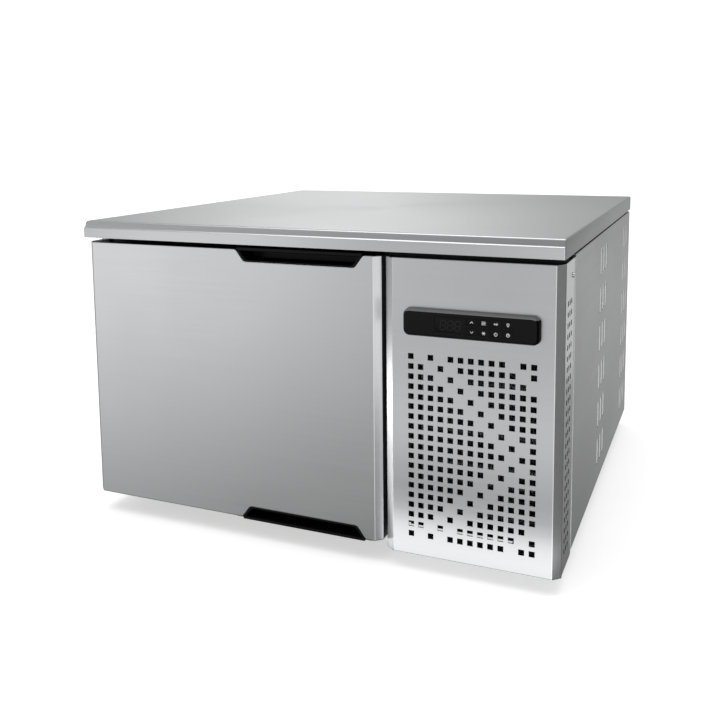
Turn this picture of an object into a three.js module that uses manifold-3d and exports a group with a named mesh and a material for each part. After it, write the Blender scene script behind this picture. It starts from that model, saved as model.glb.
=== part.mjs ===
/**
 * Blast chiller for a counter: an insulated cell with a hinged door on the left and the machine
 * side, behind a punched cover, on the right.
 *
 * Millimetres, +Z up. While the pieces are made, X runs from the middle of the cabinet to the
 * right, Y from the front face of the door to the rear, and Z from the floor up. The finished
 * group is moved along Y so that the origin lies under the middle of the whole object.
 */
import * as THREE from "three";
import { mergeVertices } from "three/addons/utils/BufferGeometryUtils.js";
import Module from "manifold-3d";

const wasm = await Module();
wasm.setup();

// ---------------------------------------------------------------- driving dimensions (mm)

const CLEAR = 0.3; // gap between pieces that touch
const CUT = 5; // how far a cutting solid runs past what it cuts
const SHEET = 1.2; // stainless sheet of the casing

// cabinet
const BODY_WIDTH = 748; // over the side panels
const MACHINE_WIDTH = 245.5; // cover of the machine side
const BODY_DEPTH = 653; // front frame to rear panel
const BODY_HEIGHT = 417; // base pan to the top edge of the side panels
const SIDE_RAISE = 3.5; // side panels end this far above the base pan
const WALL = 52; // insulated wall, outside to liner
const LINER_SHEET = 1;
const LINER_RADIUS = 12; // coved long edges of the liner
const FRAME_THICKNESS = 3.7;
const FRAME_OVERLAP = 2; // the front frame covers the liner's edge by this
const RETURN = 15; // folded edges of the panels
const BASE_SHEET = 1.5;
const BASE_LIP = 20;

// worktop
const WORKTOP_GAP = 4; // shadow gap over the side panels
const WORKTOP_LIP = 26;
const WORKTOP_FASCIA = 15; // upright part of the front lip
const WORKTOP_BAND = 5.5; // setback of the sloped band over it
const WORKTOP_SIDE_OVERHANG = 1;
const WORKTOP_FRONT_OVERHANG = 6;
const WORKTOP_REAR_OVERHANG = 6;
const CORE_RISE = 11; // core board starts this far over the cabinet's top
const CORE_SETBACK = 160; // its packing starts this far behind the door's face

// feet
const FOOT = { height: 27.7, radius: 19, neck: 10, inset: 70, frontInset: 110, rearInset: 60, pad: 20 };

// door
const DOOR_THICKNESS = 67;
const DOOR_CHAMFER = 9.5;
const DOOR_RAISE = 4.5; // door's bottom over the base pan's
const FRONT_DROP = 3.5; // door and cover end this far under the side panels' top edge
const SEAL_DEPTH = 14; // door liner to front frame
const GASKET = { inset: 14, width: 12, base: 3.7, waist: 6, head: 5.7 };
const DOOR_PANEL = { margin: 30, rise: 3 }; // pressed middle of the door liner
const DOOR_FLANGE = 9;
const CAP_THICKNESS = 3;
const PULL = {
  openWidth: 203,
  floorWidth: 176,
  height: 18,
  corner: 8,
  ear: 5,
  depth: 34,
  rim: 5,
  sill: 2.5, // thickness of the rim's long side
  wall: 4,
};
const PULL_MIDDLE = 125; // from the door's free edge to the middle of the finger pulls
const PULL_LIP = { depth: 5, drop: 1.2 };
const PULL_ROOF = { front: 1.5, rear: 7, rise: 2.5, inset: 2 }; // closes the pull at the door's edge

// door pivots
const PIVOT = { inset: 14, depth: 33, pin: 5, stub: 4, reach: 18, collar: 9, boss: 10 };
const BRACKET = { thickness: 3, width: 41, front: 18, rear: 150, side: 3 };

// machine cover
const COVER_GAP = 5.5; // between door and cover
const COVER_DROP = 4; // cover's bottom under the base pan
const COVER_CHAMFER = { left: 13.2, right: 10.8, depth: 10.6 };
const VENT = { columns: 13, rows: 19, spacing: 14, size: 8, lowestRow: 55 };
const SIDE_VENT = {
  columns: 3,
  rows: 24,
  width: 6,
  height: 7,
  columnSpacing: 12.5,
  rowSpacing: 14.6,
  first: 31,
  lowest: 47.6,
};
const COVER_SCREW = { head: 3.5, shank: 1.8, headHeight: 0.7, length: 8, rear: 17, drop: 22 };

// side and rear panels
const LOUVRE = {
  width: 12,
  height: 42,
  spacing: 30,
  perGroup: 3,
  groups: 6,
  groupSpacing: 63.5,
  lowest: 62,
  sink: 5,
  run: 11,
};
const LOUVRE_COLUMNS = [278, 585]; // middle of each column of groups, from the panel's front edge
const JOGGLE = { forward: 22, back: 4, margin: 28 }; // sunk front edge that the cover's return lies on
const REAR_VENT = { width: 56, height: 6, spacing: 16, rows: 9, columns: 2, columnSpacing: 80, lowest: 240 };

// controller
const CONTROLLER = { width: 185, height: 38, corner: 9, taper: 2, depth: 12, front: 2.5, centreHeight: 356 };
const HOUSING = { width: 149, height: 27.4, depth: 55, keySpace: 4.5 };
const COVER_CUTOUT = { width: 151, height: 29.4 };
const DISPLAY = { width: 42, height: 22, offset: -24.7, thickness: 2 };
const KEY = {
  width: 13,
  height: 10.4,
  columnSpacing: 16,
  rowSpacing: 13.2,
  firstOffset: 4.3,
  flange: 0.9,
  flangeDepth: 1,
};
const KEY_NAMES = [
  ["key_up", "key_defrost", "key_set", "key_light"],
  ["key_down", "key_hard_chill", "key_power", "key_timer"],
];

// condenser and its fan
const COIL = {
  sideGap: 24.5,
  height: 282,
  finDepth: 30,
  plate: 1.5,
  plateMargin: 2,
  bottom: 10,
  front: 13,
  top: 8,
};
const CONDENSER_FAN = {
  radius: 91.5,
  hub: 22,
  blades: 5,
  bladeAngle: 28,
  thickness: 2,
  depth: 20,
  gap: 3.5,
  start: 6,
};
const SHROUD = { sheet: 1.2, duct: 22, ring: 2 };
const SPIDER = { arms: 4, bar: 7, thickness: 3, ring: 30, bore: 14, standOff: 30 };
const MOTOR = { radius: 38, length: 42, edge: 4, shaft: 4, shaftBack: 3 };

// compressor
const COMPRESSOR = { radius: 80, height: 188, seam: 4, seamHeight: 95, dome: 34, fromFront: 345, stub: 8 };
const TERMINAL_BOX = { width: 50, depth: 36, height: 70, bottom: 60 };
const MOUNT_PLATE = { sideGap: 27, depth: 150, thickness: 3, leg: 15, legRadius: 12, legInset: 20 };

// evaporator, its cover and fan
const EVAPORATOR = {
  depth: 29,
  sideGap: 10,
  pipeGap: 20,
  bottomGap: 14,
  topGap: 8,
  plate: 1.5,
  plateMargin: 1,
};
const EVAPORATOR_COVER = { fromRear: 91, airGap: 12, opening: 100 };
const EVAPORATOR_FAN = {
  radius: 96,
  hub: 22,
  blades: 5,
  bladeAngle: 22,
  thickness: 2,
  depth: 16,
  start: 6,
};
const EVAPORATOR_MOTOR = { radius: 36, length: 25, edge: 4, shaft: 4, shaftBack: 3 };
const GUARD = { wire: 2.5, rings: [30, 54, 78], spokes: 8, standOff: 2, innerSpoke: 12 };
const DRIP = { front: 81, sideGap: 14, height: 11, wall: 1 };

// pan racks
const RACK = { levels: 3, spacing: 80, lowest: 48, ledge: 28, sheet: 1.2, front: 25, rear: 20, margin: 20 };

// refrigerant pipes
const PORT = { radius: 18, fromRear: 17, fromTop: 44 }; // hole through the partition wall
const SUCTION = { radius: 6, above: 8, drop: 36, offset: 45 };
const LIQUID = { radius: 4, below: 9, low: 60, side: 11, cross: 480, rise: 47 };
const DISCHARGE = { radius: 4, low: 150, fromCoilTop: 30 };
const DRIER = { radius: 14, length: 90, taper: 12 };
const BEND = 18;
const PIPE_STEP = 16; // a pipe's outline is repeated along it at this distance

// electrics
const BOX = { width: 135, depth: 140, height: 150, sideGap: 23, rearGap: 34, lid: 8, lidRim: 2 };
const GLAND = { bore: 4, body: 8, nut: 13, outside: 5, inside: 9, fromSide: 74, height: 80 };

// ---------------------------------------------------------------- levels that follow from them

const baseUnder = FOOT.height + CLEAR;
const baseTop = baseUnder + BASE_SHEET;
const bodyTop = baseUnder + BODY_HEIGHT;
const sideBottom = baseUnder + SIDE_RAISE;
const frontTop = bodyTop - FRONT_DROP;
const doorBottom = baseUnder + DOOR_RAISE;
const coverBottom = baseUnder - COVER_DROP;
const lipBottom = bodyTop + WORKTOP_GAP;
const worktopTop = lipBottom + WORKTOP_LIP;

const bodyRight = BODY_WIDTH / 2;
const bodyLeft = -bodyRight;
const coverLeft = bodyRight - MACHINE_WIDTH;
const doorRight = coverLeft - COVER_GAP;
const machineMiddle = (coverLeft + bodyRight) / 2;

const frameFront = DOOR_THICKNESS + SEAL_DEPTH;
const frameRear = frameFront + FRAME_THICKNESS;
const bodyRear = frameFront + BODY_DEPTH;
const worktopRear = bodyRear + WORKTOP_REAR_OVERHANG;

// space inside the casing, within the panels and the base pan's lips
const fold = SHEET + CLEAR;
const innerLeft = bodyLeft + 2 * fold;
const innerRear = bodyRear - 2 * fold;
const foamTop = bodyTop - fold;
const foamBottom = baseTop + CLEAR;
const partitionLeft = doorRight - SHEET;

// liner, outside
const liner = {
  left: bodyLeft + WALL,
  right: doorRight - WALL,
  bottom: baseUnder + WALL,
  top: bodyTop - WALL,
  front: frameRear + CLEAR,
  rear: bodyRear - WALL,
};
// cell, inside the liner
const cell = {
  left: liner.left + LINER_SHEET,
  right: liner.right - LINER_SHEET,
  bottom: liner.bottom + LINER_SHEET,
  top: liner.top - LINER_SHEET,
  rear: liner.rear - LINER_SHEET,
};
const cellMiddle = { x: (cell.left + cell.right) / 2, z: (cell.bottom + cell.top) / 2 };

const hinge = { x: bodyLeft + PIVOT.inset, y: PIVOT.depth };
const pullMiddle = doorRight - PULL_MIDDLE;
const port = { y: cell.rear - PORT.fromRear, z: cell.top - PORT.fromTop };
const coilTop = baseTop + COIL.bottom + COIL.height;
const coilHalf = MACHINE_WIDTH / 2 - COIL.sideGap;
const coilFront = frameFront + COIL.front;
const coilRear = coilFront + COIL.finDepth;
const condenserAxis = { x: machineMiddle, z: (foamBottom + coilTop + COIL.top) / 2 };
const coverFront = cell.rear - EVAPORATOR_COVER.fromRear;
const compressorBottom = foamBottom + MOUNT_PLATE.leg + MOUNT_PLATE.thickness + CLEAR;
const pipeSide = machineMiddle + coilHalf + COIL.plate + LIQUID.side;
const gland = { x: bodyRight - GLAND.fromSide, z: GLAND.height };

// ---------------------------------------------------------------- finishes

const FINISH = {
  steel: { color: 0xc4c5c6, roughness: 0.32, metalness: 1 },
  innerSteel: { color: 0xb4b6b8, roughness: 0.4, metalness: 1 },
  zinc: { color: 0x9a9d9f, roughness: 0.5, metalness: 0.9 },
  blackPlastic: { color: 0x161617, roughness: 0.42, metalness: 0 },
  glossBlack: { color: 0x0b0b0c, roughness: 0.15, metalness: 0 },
  greyPlastic: { color: 0x8c9092, roughness: 0.55, metalness: 0 },
  rubber: { color: 0x1c1c1d, roughness: 0.8, metalness: 0 },
  foam: { color: 0xe3d7a8, roughness: 0.95, metalness: 0 },
  board: { color: 0xb99a6b, roughness: 0.9, metalness: 0 },
  aluminium: { color: 0xc9cccf, roughness: 0.45, metalness: 1 },
  copper: { color: 0xb8703f, roughness: 0.35, metalness: 1 },
  blackPaint: { color: 0x1b1c1e, roughness: 0.5, metalness: 0.2 },
};

// ---------------------------------------------------------------- geometry helpers

/** Area-weighted test of which way a closed triangle mesh faces; negative is inside out. */
function signedVolume(position, index) {
  const [a, b, c] = [new THREE.Vector3(), new THREE.Vector3(), new THREE.Vector3()];
  let volume = 0;
  for (let i = 0; i < index.length; i += 3) {
    a.fromBufferAttribute(position, index[i]);
    b.fromBufferAttribute(position, index[i + 1]);
    c.fromBufferAttribute(position, index[i + 2]);
    volume += a.dot(b.cross(c));
  }
  return volume;
}

/** The solid inside a closed geometry, with shared corners joined and faces turned outwards. */
function solid(geometry) {
  const bare = geometry.clone();
  bare.deleteAttribute("normal");
  bare.deleteAttribute("uv");
  const merged = mergeVertices(bare, 1e-4);
  const corners = merged.index.array;
  const kept = [];
  for (let i = 0; i < corners.length; i += 3) {
    const [a, b, c] = [corners[i], corners[i + 1], corners[i + 2]];
    if (a !== b && b !== c && c !== a) kept.push(a, b, c);
  }
  const position = merged.attributes.position;
  if (signedVolume(position, kept) < 0) kept.reverse();
  return new wasm.Manifold(
    new wasm.Mesh({
      numProp: 3,
      vertProperties: new Float32Array(position.array),
      triVerts: new Uint32Array(kept),
    }),
  );
}

/** Joins a list of solids. */
function join(...solids) {
  return solids.flat().reduce((sum, next) => sum.add(next));
}

/** A rectangular block between two corners. */
function block([x0, x1], [y0, y1], [z0, z1]) {
  const geometry = new THREE.BoxGeometry(x1 - x0, y1 - y0, z1 - z0);
  geometry.translate((x0 + x1) / 2, (y0 + y1) / 2, (z0 + z1) / 2);
  return solid(geometry);
}

/** A flat shape through [u, v] points; a third number rounds that corner to its radius. */
function outline(points) {
  const shape = new THREE.Shape();
  points.forEach(([u, v, radius = 0], i) => {
    if (radius === 0) {
      shape[i === 0 ? "moveTo" : "lineTo"](u, v);
      return;
    }
    const corner = new THREE.Vector2(u, v);
    const before = new THREE.Vector2(...points.at(i - 1)).sub(corner).normalize();
    const after = new THREE.Vector2(...points[(i + 1) % points.length]).sub(corner).normalize();
    const half = Math.acos(THREE.MathUtils.clamp(before.dot(after), -1, 1)) / 2;
    const start = corner.clone().addScaledVector(before, radius / Math.tan(half));
    const end = corner.clone().addScaledVector(after, radius / Math.tan(half));
    const middle = before.clone().add(after).normalize();
    const centre = corner.clone().addScaledVector(middle, radius / Math.sin(half));
    const clockwise = before.cross(after) > 0;
    if (i === 0) shape.moveTo(start.x, start.y);
    shape.absarc(centre.x, centre.y, radius, start.sub(centre).angle(), end.sub(centre).angle(), clockwise);
  });
  return shape;
}

/** A rectangle with round corners. */
function roundedRectangle([u0, u1], [v0, v1], radius) {
  return outline([[u0, v0, radius], [u1, v0, radius], [u1, v1, radius], [u0, v1, radius]]);
}

/** A convex anticlockwise polygon moved inwards by a distance on every side. */
function inset(points, distance) {
  const line = (i) => {
    const from = new THREE.Vector2(...points[i]);
    const along = new THREE.Vector2(...points[(i + 1) % points.length]).sub(from).normalize();
    return { along, from: from.add(new THREE.Vector2(-along.y, along.x).multiplyScalar(distance)) };
  };
  return points.map((_, i) => {
    const before = line((i + points.length - 1) % points.length);
    const after = line(i);
    const t = after.from.clone().sub(before.from).cross(after.along) / before.along.cross(after.along);
    const corner = before.from.addScaledVector(before.along, t);
    return [corner.x, corner.y];
  });
}

/** Turns geometry that was made along local Z so that it runs along the named axis. */
function alongAxis(geometry, axis, from, to) {
  const [x, y, z] = [new THREE.Vector3(1, 0, 0), new THREE.Vector3(0, 1, 0), new THREE.Vector3(0, 0, 1)];
  const turn = new THREE.Matrix4();
  if (axis === "x") turn.makeBasis(y, z, x).setPosition(from, 0, 0);
  if (axis === "y") turn.makeBasis(x, z, y.negate()).setPosition(0, to, 0);
  if (axis === "z") turn.setPosition(0, 0, from);
  return geometry.applyMatrix4(turn);
}

/**
 * A shape drawn square to an axis and extruded along it. The shape's own axes are
 * Y and Z for axis "x", X and Z for axis "y", and X and Y for axis "z".
 */
function extrude(shape, axis, [from, to], curveSegments = 4) {
  const depth = to - from;
  const geometry = new THREE.ExtrudeGeometry(shape, { depth, bevelEnabled: false, curveSegments });
  return solid(alongAxis(geometry, axis, from, to));
}

/** A solid between two outlines with the same number of points, drawn in X and Z, at two depths in Y. */
function taperedAlongY(shapeA, yA, shapeB, yB) {
  const ringA = shapeA.extractPoints(4).shape.slice(0, -1);
  const ringB = shapeB.extractPoints(4).shape.slice(0, -1);
  const count = ringA.length;
  const positions = [...ringA.flatMap((p) => [p.x, yA, p.y]), ...ringB.flatMap((p) => [p.x, yB, p.y])];
  const cap = THREE.ShapeUtils.triangulateShape(ringA, []);
  const faces = [...cap.flat(), ...cap.flatMap(([a, b, c]) => [c + count, b + count, a + count])];
  for (let i = 0; i < count; i += 1) {
    const j = (i + 1) % count;
    faces.push(i, i + count, j, j, i + count, j + count);
  }
  const geometry = new THREE.BufferGeometry();
  geometry.setAttribute("position", new THREE.Float32BufferAttribute(positions, 3));
  geometry.setIndex(faces);
  return solid(geometry);
}

/** A turned solid: a profile of [radius, height] from axis to axis, about X, Y or Z. */
function turned(profile, axis, at, segments = 20) {
  const geometry = new THREE.LatheGeometry(profile.map(([r, h]) => new THREE.Vector2(r, h)), segments);
  if (axis === "z") geometry.rotateX(Math.PI / 2);
  if (axis === "x") geometry.rotateZ(-Math.PI / 2);
  geometry.translate(...at);
  return solid(geometry);
}

/** A round bar about an axis, from one place along it to another. */
function rod(radius, axis, [from, to], at, segments = 16) {
  return turned([[0, from], [radius, from], [radius, to], [0, to]], axis, at, segments);
}

/** A flat ring about Y. */
function ring([inner, outer], [from, to], at, segments = 24) {
  const profile = [[inner, from], [outer, from], [outer, to], [inner, to], [inner, from]];
  return turned(profile, "y", at, segments);
}

/** A bent pipe through corner points, with every corner rounded. */
function pipe(points, radius, sides = 8) {
  const corners = points.map((p) => new THREE.Vector3(...p));
  const path = new THREE.CurvePath();
  let from = corners[0];
  for (let i = 1; i < corners.length - 1; i += 1) {
    const [before, after] = [corners[i - 1].clone().sub(corners[i]), corners[i + 1].clone().sub(corners[i])];
    const bend = Math.min(BEND, before.length() / 2, after.length() / 2);
    const start = corners[i].clone().addScaledVector(before.normalize(), bend);
    const end = corners[i].clone().addScaledVector(after.normalize(), bend);
    if (from.distanceTo(start) > CLEAR) path.add(new THREE.LineCurve3(from, start));
    path.add(new THREE.QuadraticBezierCurve3(start, corners[i], end));
    from = end;
  }
  if (from.distanceTo(corners.at(-1)) > CLEAR) path.add(new THREE.LineCurve3(from, corners.at(-1)));
  const section = new THREE.Shape().absarc(0, 0, radius, 0, 2 * Math.PI);
  const steps = Math.ceil(path.getLength() / PIPE_STEP);
  const options = { steps, extrudePath: path, bevelEnabled: false, curveSegments: sides / 2 };
  return solid(new THREE.ExtrudeGeometry(section, options));
}

const chiller = new THREE.Group();

/** Adds one named piece to a group and returns its mesh. */
function piece(name, shape, finish, group = chiller) {
  const { vertProperties, triVerts } = shape.getMesh();
  const geometry = new THREE.BufferGeometry();
  geometry.setAttribute("position", new THREE.BufferAttribute(vertProperties, 3));
  geometry.setIndex(new THREE.BufferAttribute(triVerts, 1));
  geometry.computeVertexNormals();
  const mesh = new THREE.Mesh(geometry, new THREE.MeshStandardMaterial(FINISH[finish]));
  mesh.name = name;
  group.add(mesh);
  return mesh;
}

// ---------------------------------------------------------------- cabinet

/** Worktop's section from a level up, smaller by a margin: the front has a sloped band over a fascia. */
function worktopSolid(bottom, margin) {
  const front = -WORKTOP_FRONT_OVERHANG;
  const halfWidth = bodyRight + WORKTOP_SIDE_OVERHANG - margin;
  const section = [
    [front, lipBottom - CUT],
    [worktopRear, lipBottom - CUT],
    [worktopRear, worktopTop],
    [front + WORKTOP_BAND, worktopTop],
    [front, lipBottom + WORKTOP_FASCIA],
  ];
  const whole = extrude(outline(inset(section, margin)), "x", [-halfWidth, halfWidth]);
  const depth = [front - CUT, worktopRear + CUT];
  return whole.intersect(block([-halfWidth, halfWidth], depth, [bottom, worktopTop]));
}

/** Worktop: a sheet with a lip all round. */
function worktop() {
  return worktopSolid(lipBottom, 0).subtract(worktopSolid(lipBottom - CUT, SHEET));
}

/** Board that stiffens the worktop, with packing under it that stands on the cabinet. */
function worktopCore() {
  const width = [innerLeft, bodyRight - 2 * fold];
  const packing = block(width, [CORE_SETBACK, innerRear], [bodyTop + CLEAR, bodyTop + CORE_RISE + CUT]);
  return worktopSolid(bodyTop + CORE_RISE, fold).add(packing);
}

/** Left side panel with its top edge folded in. */
function leftSidePanel() {
  const wall = block([bodyLeft, bodyLeft + SHEET], [frameFront, bodyRear], [sideBottom, bodyTop]);
  const depth = [frameRear + CLEAR, innerRear];
  return wall.add(block([bodyLeft, bodyLeft + RETURN], depth, [bodyTop - SHEET, bodyTop]));
}

/** One louvre: the slot that is cut, and the blade that is pushed in from its rear edge. */
function louvre(middle, bottom) {
  const [front, rear] = [middle - LOUVRE.width / 2, middle + LOUVRE.width / 2];
  const height = [bottom, bottom + LOUVRE.height];
  const blade = outline([
    [bodyRight - SHEET, rear + SHEET / 2],
    [bodyRight - SHEET - LOUVRE.sink, rear - LOUVRE.run],
    [bodyRight - LOUVRE.sink, rear - LOUVRE.run],
    [bodyRight, rear],
    [bodyRight, rear + SHEET / 2],
  ]);
  return {
    slot: block([bodyRight - SHEET - CUT, bodyRight + CUT], [front, rear], height),
    blade: extrude(blade, "z", height),
  };
}

/** Right side panel: louvred, top edge folded in, front edge sunk to lie under the cover's return. */
function rightSidePanel() {
  const wall = block([bodyRight - SHEET, bodyRight], [frameFront, bodyRear], [sideBottom, bodyTop]);
  const topFold = block([bodyRight - RETURN, bodyRight], [frameFront, innerRear], [bodyTop - SHEET, bodyTop]);
  const height = [sideBottom + JOGGLE.margin, frontTop - SHEET - CLEAR];
  const sunk = [bodyRight - fold - SHEET, bodyRight - fold];
  const joggle = block(sunk, [frameFront - JOGGLE.forward, frameFront + JOGGLE.back], height);
  const step = block([sunk[0], bodyRight], [frameFront, frameFront + JOGGLE.back], height);
  const louvres = LOUVRE_COLUMNS.flatMap((column) =>
    Array.from({ length: LOUVRE.groups * LOUVRE.perGroup }, (_, i) => {
      const across = (i % LOUVRE.perGroup) - (LOUVRE.perGroup - 1) / 2;
      const group = Math.floor(i / LOUVRE.perGroup);
      const middle = frameFront + column + across * LOUVRE.spacing;
      return louvre(middle, LOUVRE.lowest + group * LOUVRE.groupSpacing);
    }),
  );
  return join(wall, topFold, joggle, step)
    .subtract(join(louvres.map((one) => one.slot)))
    .add(join(louvres.map((one) => one.blade)))
    .subtract(coverScrewHole());
}

/** Rear panel between the side panels, with air slots and the cable hole on the machine side. */
function rearPanel() {
  const halfWidth = bodyRight - fold;
  const wall = block([-halfWidth, halfWidth], [bodyRear - SHEET, bodyRear], [sideBottom, bodyTop]);
  const slots = Array.from({ length: REAR_VENT.columns * REAR_VENT.rows }, (_, i) => {
    const across = ((i % REAR_VENT.columns) - (REAR_VENT.columns - 1) / 2) * REAR_VENT.columnSpacing;
    const middle = machineMiddle + across;
    const bottom = REAR_VENT.lowest + Math.floor(i / REAR_VENT.columns) * REAR_VENT.spacing;
    const width = [middle - REAR_VENT.width / 2, middle + REAR_VENT.width / 2];
    return block(width, [bodyRear - CUT, bodyRear + CUT], [bottom, bottom + REAR_VENT.height]);
  });
  const hole = rod(GLAND.body + CLEAR, "y", [bodyRear - CUT, bodyRear + CUT], [gland.x, 0, gland.z]);
  return wall.subtract(join(slots)).subtract(hole);
}

/** Base pan with lips up inside the side and rear panels. */
function basePan() {
  const halfWidth = bodyRight - fold;
  const depth = [frameRear + CLEAR, bodyRear - fold];
  const outside = block([-halfWidth, halfWidth], depth, [baseUnder, baseTop + BASE_LIP]);
  const inside = block(
    [SHEET - halfWidth, halfWidth - SHEET],
    [depth[0] - CUT, depth[1] - SHEET],
    [baseTop, baseTop + BASE_LIP + CUT],
  );
  return outside.subtract(inside);
}

/** What a hole for the refrigerant pipes takes away. */
function pipeHole() {
  return rod(PORT.radius, "x", [cell.right - CUT, doorRight + CUT], [0, port.y, port.z]);
}

/** Frame round the cell's mouth that the door's gasket closes on. */
function frontFrame() {
  const depth = [frameFront, frameRear];
  const mouth = roundedRectangle(
    [liner.left + FRAME_OVERLAP, liner.right - FRAME_OVERLAP],
    [liner.bottom + FRAME_OVERLAP, liner.top - FRAME_OVERLAP],
    LINER_RADIUS,
  );
  const plate = block([bodyLeft + fold, doorRight], depth, [sideBottom, bodyTop]);
  return plate.subtract(extrude(mouth, "y", [frameFront - CUT, frameRear + CUT]));
}

/** Inner liner: a seamless box, open to the front, with a hole for the pipes. */
function innerLiner() {
  const box = (margin, depth) =>
    extrude(
      roundedRectangle(
        [liner.left + margin, liner.right - margin],
        [liner.bottom + margin, liner.top - margin],
        LINER_RADIUS - margin,
      ),
      "y",
      depth,
    );
  const outside = box(CLEAR, [liner.front, liner.rear - CLEAR]);
  const inside = box(LINER_SHEET, [liner.front - CUT, cell.rear]);
  return outside.subtract(inside).subtract(pipeHole());
}

/** The five slabs of insulation round the liner. */
function insulation() {
  const depth = [liner.front, innerRear];
  const width = [innerLeft, partitionLeft - CLEAR];
  const height = [liner.bottom + CLEAR, liner.top - CLEAR];
  const left = block([innerLeft, liner.left], depth, height);
  const right = block([liner.right, partitionLeft - CLEAR], depth, height);
  piece("foam_bottom", block(width, depth, [foamBottom, liner.bottom]), "foam");
  piece("foam_top", block(width, depth, [liner.top, foamTop]), "foam");
  piece("foam_left", left, "foam");
  piece("foam_right", right.subtract(pipeHole()), "foam");
  const back = block([liner.left + CLEAR, liner.right - CLEAR], [liner.rear, innerRear], height);
  piece("foam_back", back, "foam");
}

/** Sheet between the cell and the machine side, folded at the front to meet the cover. */
function partitionPanel() {
  const height = [foamBottom, foamTop];
  const foldRear = liner.front + SHEET;
  const wall = block([partitionLeft, doorRight], [liner.front, innerRear], height);
  const frontFold = block([partitionLeft, doorRight + RETURN], [liner.front, foldRear], height);
  const tongue = block([doorRight + CLEAR, doorRight + RETURN], [frameFront, foldRear], height);
  return join(wall, frontFold, tongue).subtract(pipeHole());
}

/** One rubber foot, standing on its own origin. */
function foot() {
  const profile = [
    [0, 0],
    [FOOT.radius - 2, 0],
    [FOOT.radius, 2],
    [FOOT.radius - 2, FOOT.pad - 2],
    [FOOT.neck, FOOT.pad],
    [FOOT.neck, FOOT.height],
    [0, FOOT.height],
  ];
  return turned(profile, "z", [0, 0, 0]);
}

function cabinet() {
  piece("worktop", worktop(), "steel");
  piece("worktop_core", worktopCore(), "board");
  piece("left_side_panel", leftSidePanel(), "steel");
  piece("right_side_panel", rightSidePanel(), "steel");
  piece("rear_panel", rearPanel(), "steel");
  piece("base_pan", basePan(), "zinc");
  piece("front_frame", frontFrame(), "innerSteel");
  piece("inner_liner", innerLiner(), "innerSteel");
  insulation();
  piece("partition_panel", partitionPanel(), "zinc");
  const across = { left: bodyLeft + FOOT.inset, right: bodyRight - FOOT.inset };
  const along = { front: FOOT.frontInset, rear: bodyRear - FOOT.rearInset };
  for (const [alongName, y] of Object.entries(along)) {
    for (const [acrossName, x] of Object.entries(across)) {
      piece(`foot_${alongName}_${acrossName}`, foot(), "rubber").position.set(x, y, 0);
    }
  }
}

// ---------------------------------------------------------------- machine cover

/** Where the cover's screw goes in. */
function coverScrewPlace() {
  return [0, frameFront - COVER_SCREW.rear, frontTop - COVER_SCREW.drop];
}

/** What the hole for the cover's screw takes away. */
function coverScrewHole() {
  const depth = [bodyRight - RETURN, bodyRight + CUT];
  return rod(COVER_SCREW.shank + CLEAR, "x", depth, coverScrewPlace());
}

/** True where the field of square holes keeps a hole: two chevrons of it stay blank. */
function ventIsOpen(column, row) {
  const middleRow = (VENT.rows + 1) / 2;
  const step = column - Math.min(row, VENT.rows + 1 - row);
  return !(step === 1 || step === 10 || (step === 3 && row !== middleRow));
}

/** The field of square holes in the cover's face. */
function ventField() {
  const holes = [];
  for (let row = 1; row <= VENT.rows; row += 1) {
    for (let column = 1; column <= VENT.columns; column += 1) {
      if (!ventIsOpen(column, row)) continue;
      const x = ventMiddle() + (column - (VENT.columns + 1) / 2) * VENT.spacing;
      const z = VENT.lowestRow + (VENT.rows - row) * VENT.spacing;
      const half = VENT.size / 2;
      holes.push(block([x - half, x + half], [-CUT, SHEET + CUT], [z - half, z + half]));
    }
  }
  return wasm.Manifold.union(holes);
}

/** Middle of the cover's flat face. */
function ventMiddle() {
  return (coverLeft + COVER_CHAMFER.left + bodyRight - COVER_CHAMFER.right) / 2;
}

/** The columns of short slots in the cover's right-hand return. */
function sideVents() {
  const slots = [];
  for (let column = 0; column < SIDE_VENT.columns; column += 1) {
    for (let row = 0; row < SIDE_VENT.rows; row += 1) {
      const y = SIDE_VENT.first + column * SIDE_VENT.columnSpacing;
      const z = SIDE_VENT.lowest + row * SIDE_VENT.rowSpacing;
      const depth = [y - SIDE_VENT.width / 2, y + SIDE_VENT.width / 2];
      slots.push(block([bodyRight - SHEET - CUT, bodyRight + CUT], depth, [z, z + SIDE_VENT.height]));
    }
  }
  return wasm.Manifold.union(slots);
}

/** Punched cover of the machine side: a folded sheet, open to the rear and at the top. */
function machineCover() {
  const plan = (rear) => [
    [coverLeft, rear],
    [coverLeft, COVER_CHAMFER.depth],
    [coverLeft + COVER_CHAMFER.left, 0],
    [bodyRight - COVER_CHAMFER.right, 0],
    [bodyRight, COVER_CHAMFER.depth],
    [bodyRight, rear],
  ];
  const rear = frameFront - CLEAR;
  const outside = extrude(outline(plan(rear)), "z", [coverBottom, frontTop]);
  const inside = extrude(outline(inset(plan(rear + CUT), SHEET)), "z", [coverBottom + SHEET, frontTop + CUT]);
  const middle = ventMiddle();
  const cutout = block(
    [middle - COVER_CUTOUT.width / 2, middle + COVER_CUTOUT.width / 2],
    [-CUT, SHEET + CUT],
    [CONTROLLER.centreHeight - COVER_CUTOUT.height / 2, CONTROLLER.centreHeight + COVER_CUTOUT.height / 2],
  );
  const holes = join(ventField(), sideVents(), cutout, coverScrewHole());
  return outside.subtract(inside).subtract(holes);
}

/** Pan-head screw through the cover's return into the side panel's sunk edge. */
function coverScrew() {
  const face = bodyRight + CLEAR;
  const profile = [
    [0, face - COVER_SCREW.length],
    [COVER_SCREW.shank, face - COVER_SCREW.length],
    [COVER_SCREW.shank, face],
    [COVER_SCREW.head, face],
    [COVER_SCREW.head * 0.6, face + COVER_SCREW.headHeight],
    [0, face + COVER_SCREW.headHeight],
  ];
  return turned(profile, "x", coverScrewPlace(), 12);
}

// ---------------------------------------------------------------- controller

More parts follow.
